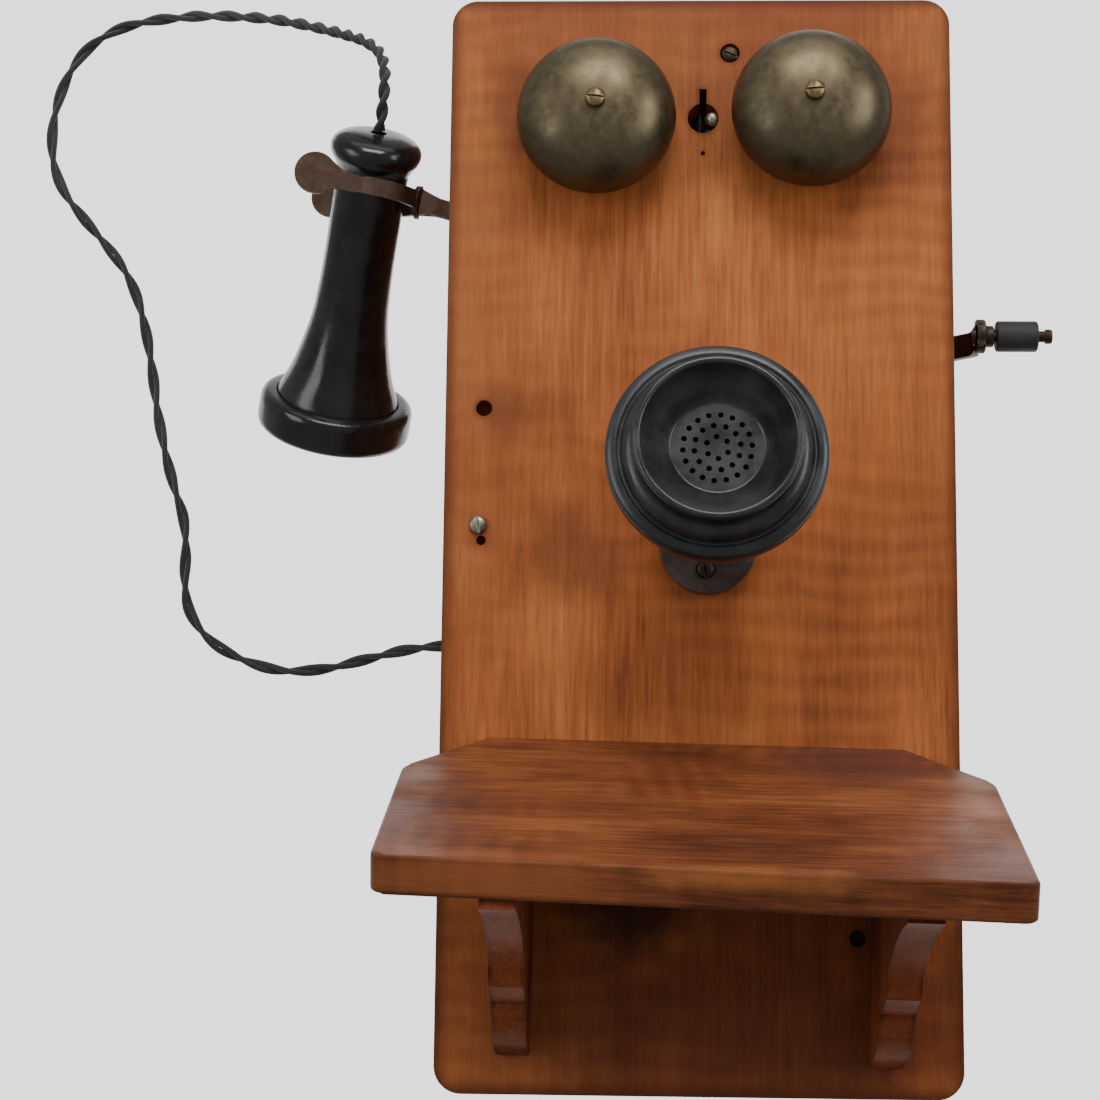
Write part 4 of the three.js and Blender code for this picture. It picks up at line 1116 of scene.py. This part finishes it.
def prong(side):
    """One side of the fork: a strap that opens outwards and ends in a round lobe."""
    half, lobe = FORK["half"], FORK["lobe"]
    spread = 180 - degrees(asin(half / lobe)) - 12
    shape = [(-0.6, -half), (-0.6, half), (5, half), (9, half + 0.3)]
    shape += arc(FORK["reach"], FORK["lobe_up"], lobe, spread, -spread, 32)
    shape += [(9, 0.4 - half), (5, -half)]
    inner = 0 if side > 0 else -FORK["strap"]
    flare = Matrix.Rotation(-side * radians(FORK["flare"]), 4, "Y")
    place = FORK_PLACE @ at(0, 0, side * FORK["gap"]) @ flare
    return plate("prong", shape, FORK["strap"], place @ at(0, 0, inner), 0.4, 3)


def fork_bend():
    """The half ring behind the receiver, and the round patch where its arm is riveted on."""
    half = FORK["half"]
    outer, inner = (arc(0, 0, radius, 90, 270, 40) for radius in (FORK_OUTER, FORK["gap"]))
    lie = FORK_PLACE @ at(0, half, 0) @ FACING
    bend = plate("bend", outer + inner[::-1], 2 * half, lie, 0.4, 3)
    near, far = FORK["gap"] - 0.1, FORK_OUTER + 0.1
    patch = turned("patch", [(near, -8), (far, -8), (far, 8), (near, 8)], None, 120)
    boolean(patch, [rod("tool", "x", 7.2, -FORK_OUTER - 2, -9, (0, 0), 64)], "INTERSECT")
    patch.matrix_world = metres(FORK_PLACE)
    return [bend, patch]


def hook_lever():
    """A fork of flat strap round the receiver, with an arm that runs back to its pivot."""
    half, length, tail, thick = (HOOK_ARM[key] for key in ("half", "length", "tail", "thick"))
    root = [(length - 8, half), (length - 4, half + 0.5), (length + 0.6, half + 2.2)]
    shape = [(0.2 - tail, half - 0.8), (0.9 - tail, half)] + root
    shape += [(x, -y) for x, y in reversed(shape)]
    arm = plate("arm", shape, thick, ARM_PLACE @ at(0, 0, -thick / 2), 0.35, 3)
    boss = turned("boss", [(0, -1.3), (4.8, -1.3), (4.95, -1.1), (4.95, 1.1), (4.8, 1.3), (0, 1.3)],
                  ARM_PLACE @ FACING, 40)
    return merged("hook_lever_bent", [prong(-1), prong(1), *fork_bend(), arm, boss])


def receiver_shell():
    head = [(3.45, 27.5)] + spline([(6, 27.45), (10.3, 27.05), (14.5, 26), (17.5, 24.4),
                                    (19.2, 22.3), (19.75, 20.3), (19.6, 18.4), (18.9, 16.4),
                                    (17.6, 14.4), (16.5, 12.6), (15.8, 11.2), (15.55, 9.8)], 5)
    barrel = spline([(15.5, 6), (15.45, -10), (15.5, -31), (16, -45), (17.05, -58), (19.9, -72.5),
                     (23, -84), (25.9, -91.2), (27.15, -94.6), (27.35, -98.5), (27.35, -102.4)], 5)
    inside = [(24.3, -102.4), (21.8, -91), (15.9, -66), (12.5, -46), (12.1, 18), (3.45, 22)]
    return turned("receiver_shell_turned", head + barrel + inside, RECEIVER, 112, 40)


def ear_cap():
    profile = [(27.65, -94.9)] + spline([(30, -94.95), (31.9, -95.3), (33.3, -96.3), (34.05, -98),
                                         (34.25, -99.8)], 4)
    profile += spline([(34.25, -106.8), (34, -108.8), (33, -110.6), (31.4, -111.4),
                       (29.5, -111.6)], 4)
    profile += [(12, -109.1), (6.4, -108.6), (5.6, -108), (5.6, -106.2), (30.3, -106.2),
                (30.3, -102.7), (27.65, -102.7)]
    return baked(turned("receiver_ear_cap_turned", profile, RECEIVER, 120, 35))


show(hook_lever(), "hook_lever", strap_bronze, "hook_lever")
show(receiver_shell(), "receiver", black_bakelite, "receiver_shell")
show(ear_cap(), "receiver", black_bakelite, "receiver_ear_cap")


# ---- cabinet
case_x, case_z = CASE_HALF
inside_x, inside_z = case_x - CASE_WALL, case_z - CASE_WALL
left = block("side_board_left_oak", -case_x, -inside_x, CASE_FRONT, 0, -case_z, case_z, 0.7)
boolean(left, [
    block("tool", -case_x - 2, -inside_x + 2, -90.2, -85.2, 133, 153.5),
    rod("tool", "x", 5, -case_x - 2, -inside_x + 2, GROMMET, 40),
    rod("tool", "y", 3, CASE_FRONT - 1, -88, LOCK_SCREW, 24),
])
show(left, "cabinet", oak_case, "side_board_left")
right = block("side_board_right_oak", inside_x, case_x, CASE_FRONT, 0, -case_z, case_z, 0.7)
boolean(right, [rod("tool", "x", 5.5, inside_x - 2, case_x + 2, CRANK, 40)])
show(right, "cabinet", oak_case, "side_board_right")
for level, low, high in (("top", inside_z, case_z), ("bottom", -case_z, -inside_z)):
    width = inside_x - 0.3
    board = block(f"{level}_board_oak", -width, width, CASE_FRONT, 0, low, high, 0.5)
    show(board, "cabinet", oak_across, f"{level}_board")
cord_grommet = turned("cord_grommet_turned", [
    (3.3, 90.1), (4.55, 90.1), (4.55, 99.3), (6.6, 99.35), (6.95, 99.8), (6.9, 100.4),
    (6.2, 101.2), (5.2, 101.65), (4.2, 101.75), (3.5, 101.5), (3.3, 101),
], at(0, *GROMMET) @ Matrix.Rotation(pi / 2, 4, "Z"), 48)
show(cord_grommet, "cabinet", black_bakelite, "cord_grommet")

# ---- studio
paper = Look("backdrop_paper")
grain = paper.noise(240, 4, 0.6)
paper.set(
    base_color=paper.mix(grain, (0.86, 0.86, 0.86), (0.9, 0.9, 0.9)), roughness=0.9,
    emission_color=(1, 1, 1), emission_strength=1.6,
)
backdrop = make(
    "backdrop", [(-8e3, 6e3, -8e3), (8e3, 6e3, -8e3), (8e3, 6e3, 8e3), (-8e3, 6e3, 8e3)], [range(4)]
)
backdrop.data.materials.append(paper.material)


def lamp(name, place, width, height, power, colour=(1, 1, 1)):
    """A soft lamp that shines on the middle of the telephone, and isn't itself seen."""
    data = bpy.data.lights.new(name, "AREA")
    data.shape = "RECTANGLE"
    data.size, data.size_y = width, height
    data.energy = power
    data.color = colour
    light = add(name, data)
    light.location = place
    light.visible_camera = False
    light.rotation_mode = "QUATERNION"
    towards = Vector((0, -0.1, 0)) - Vector(place)
    light.rotation_quaternion = towards.to_track_quat("-Z", "Y")


lamp("key", (0.1, -1.6, 1.6), 1.3, 0.8, 37, (1, 0.985, 0.96))
lamp("fill_left", (-1.6, -1.3, 0.3), 0.8, 1.2, 14, (0.97, 0.98, 1))
lamp("fill_right", (1.7, -1.2, 0.5), 0.8, 1.2, 16, (0.98, 0.985, 1))
lamp("top", (0, -0.5, 1.6), 1.4, 0.6, 3)

world = bpy.data.worlds.new("world")
world.use_nodes = True
sky = world.node_tree.nodes["Background"]
sky.inputs[0].default_value = (1, 1, 1, 1)
sky.inputs[1].default_value = 0.42
bpy.context.scene.world = world
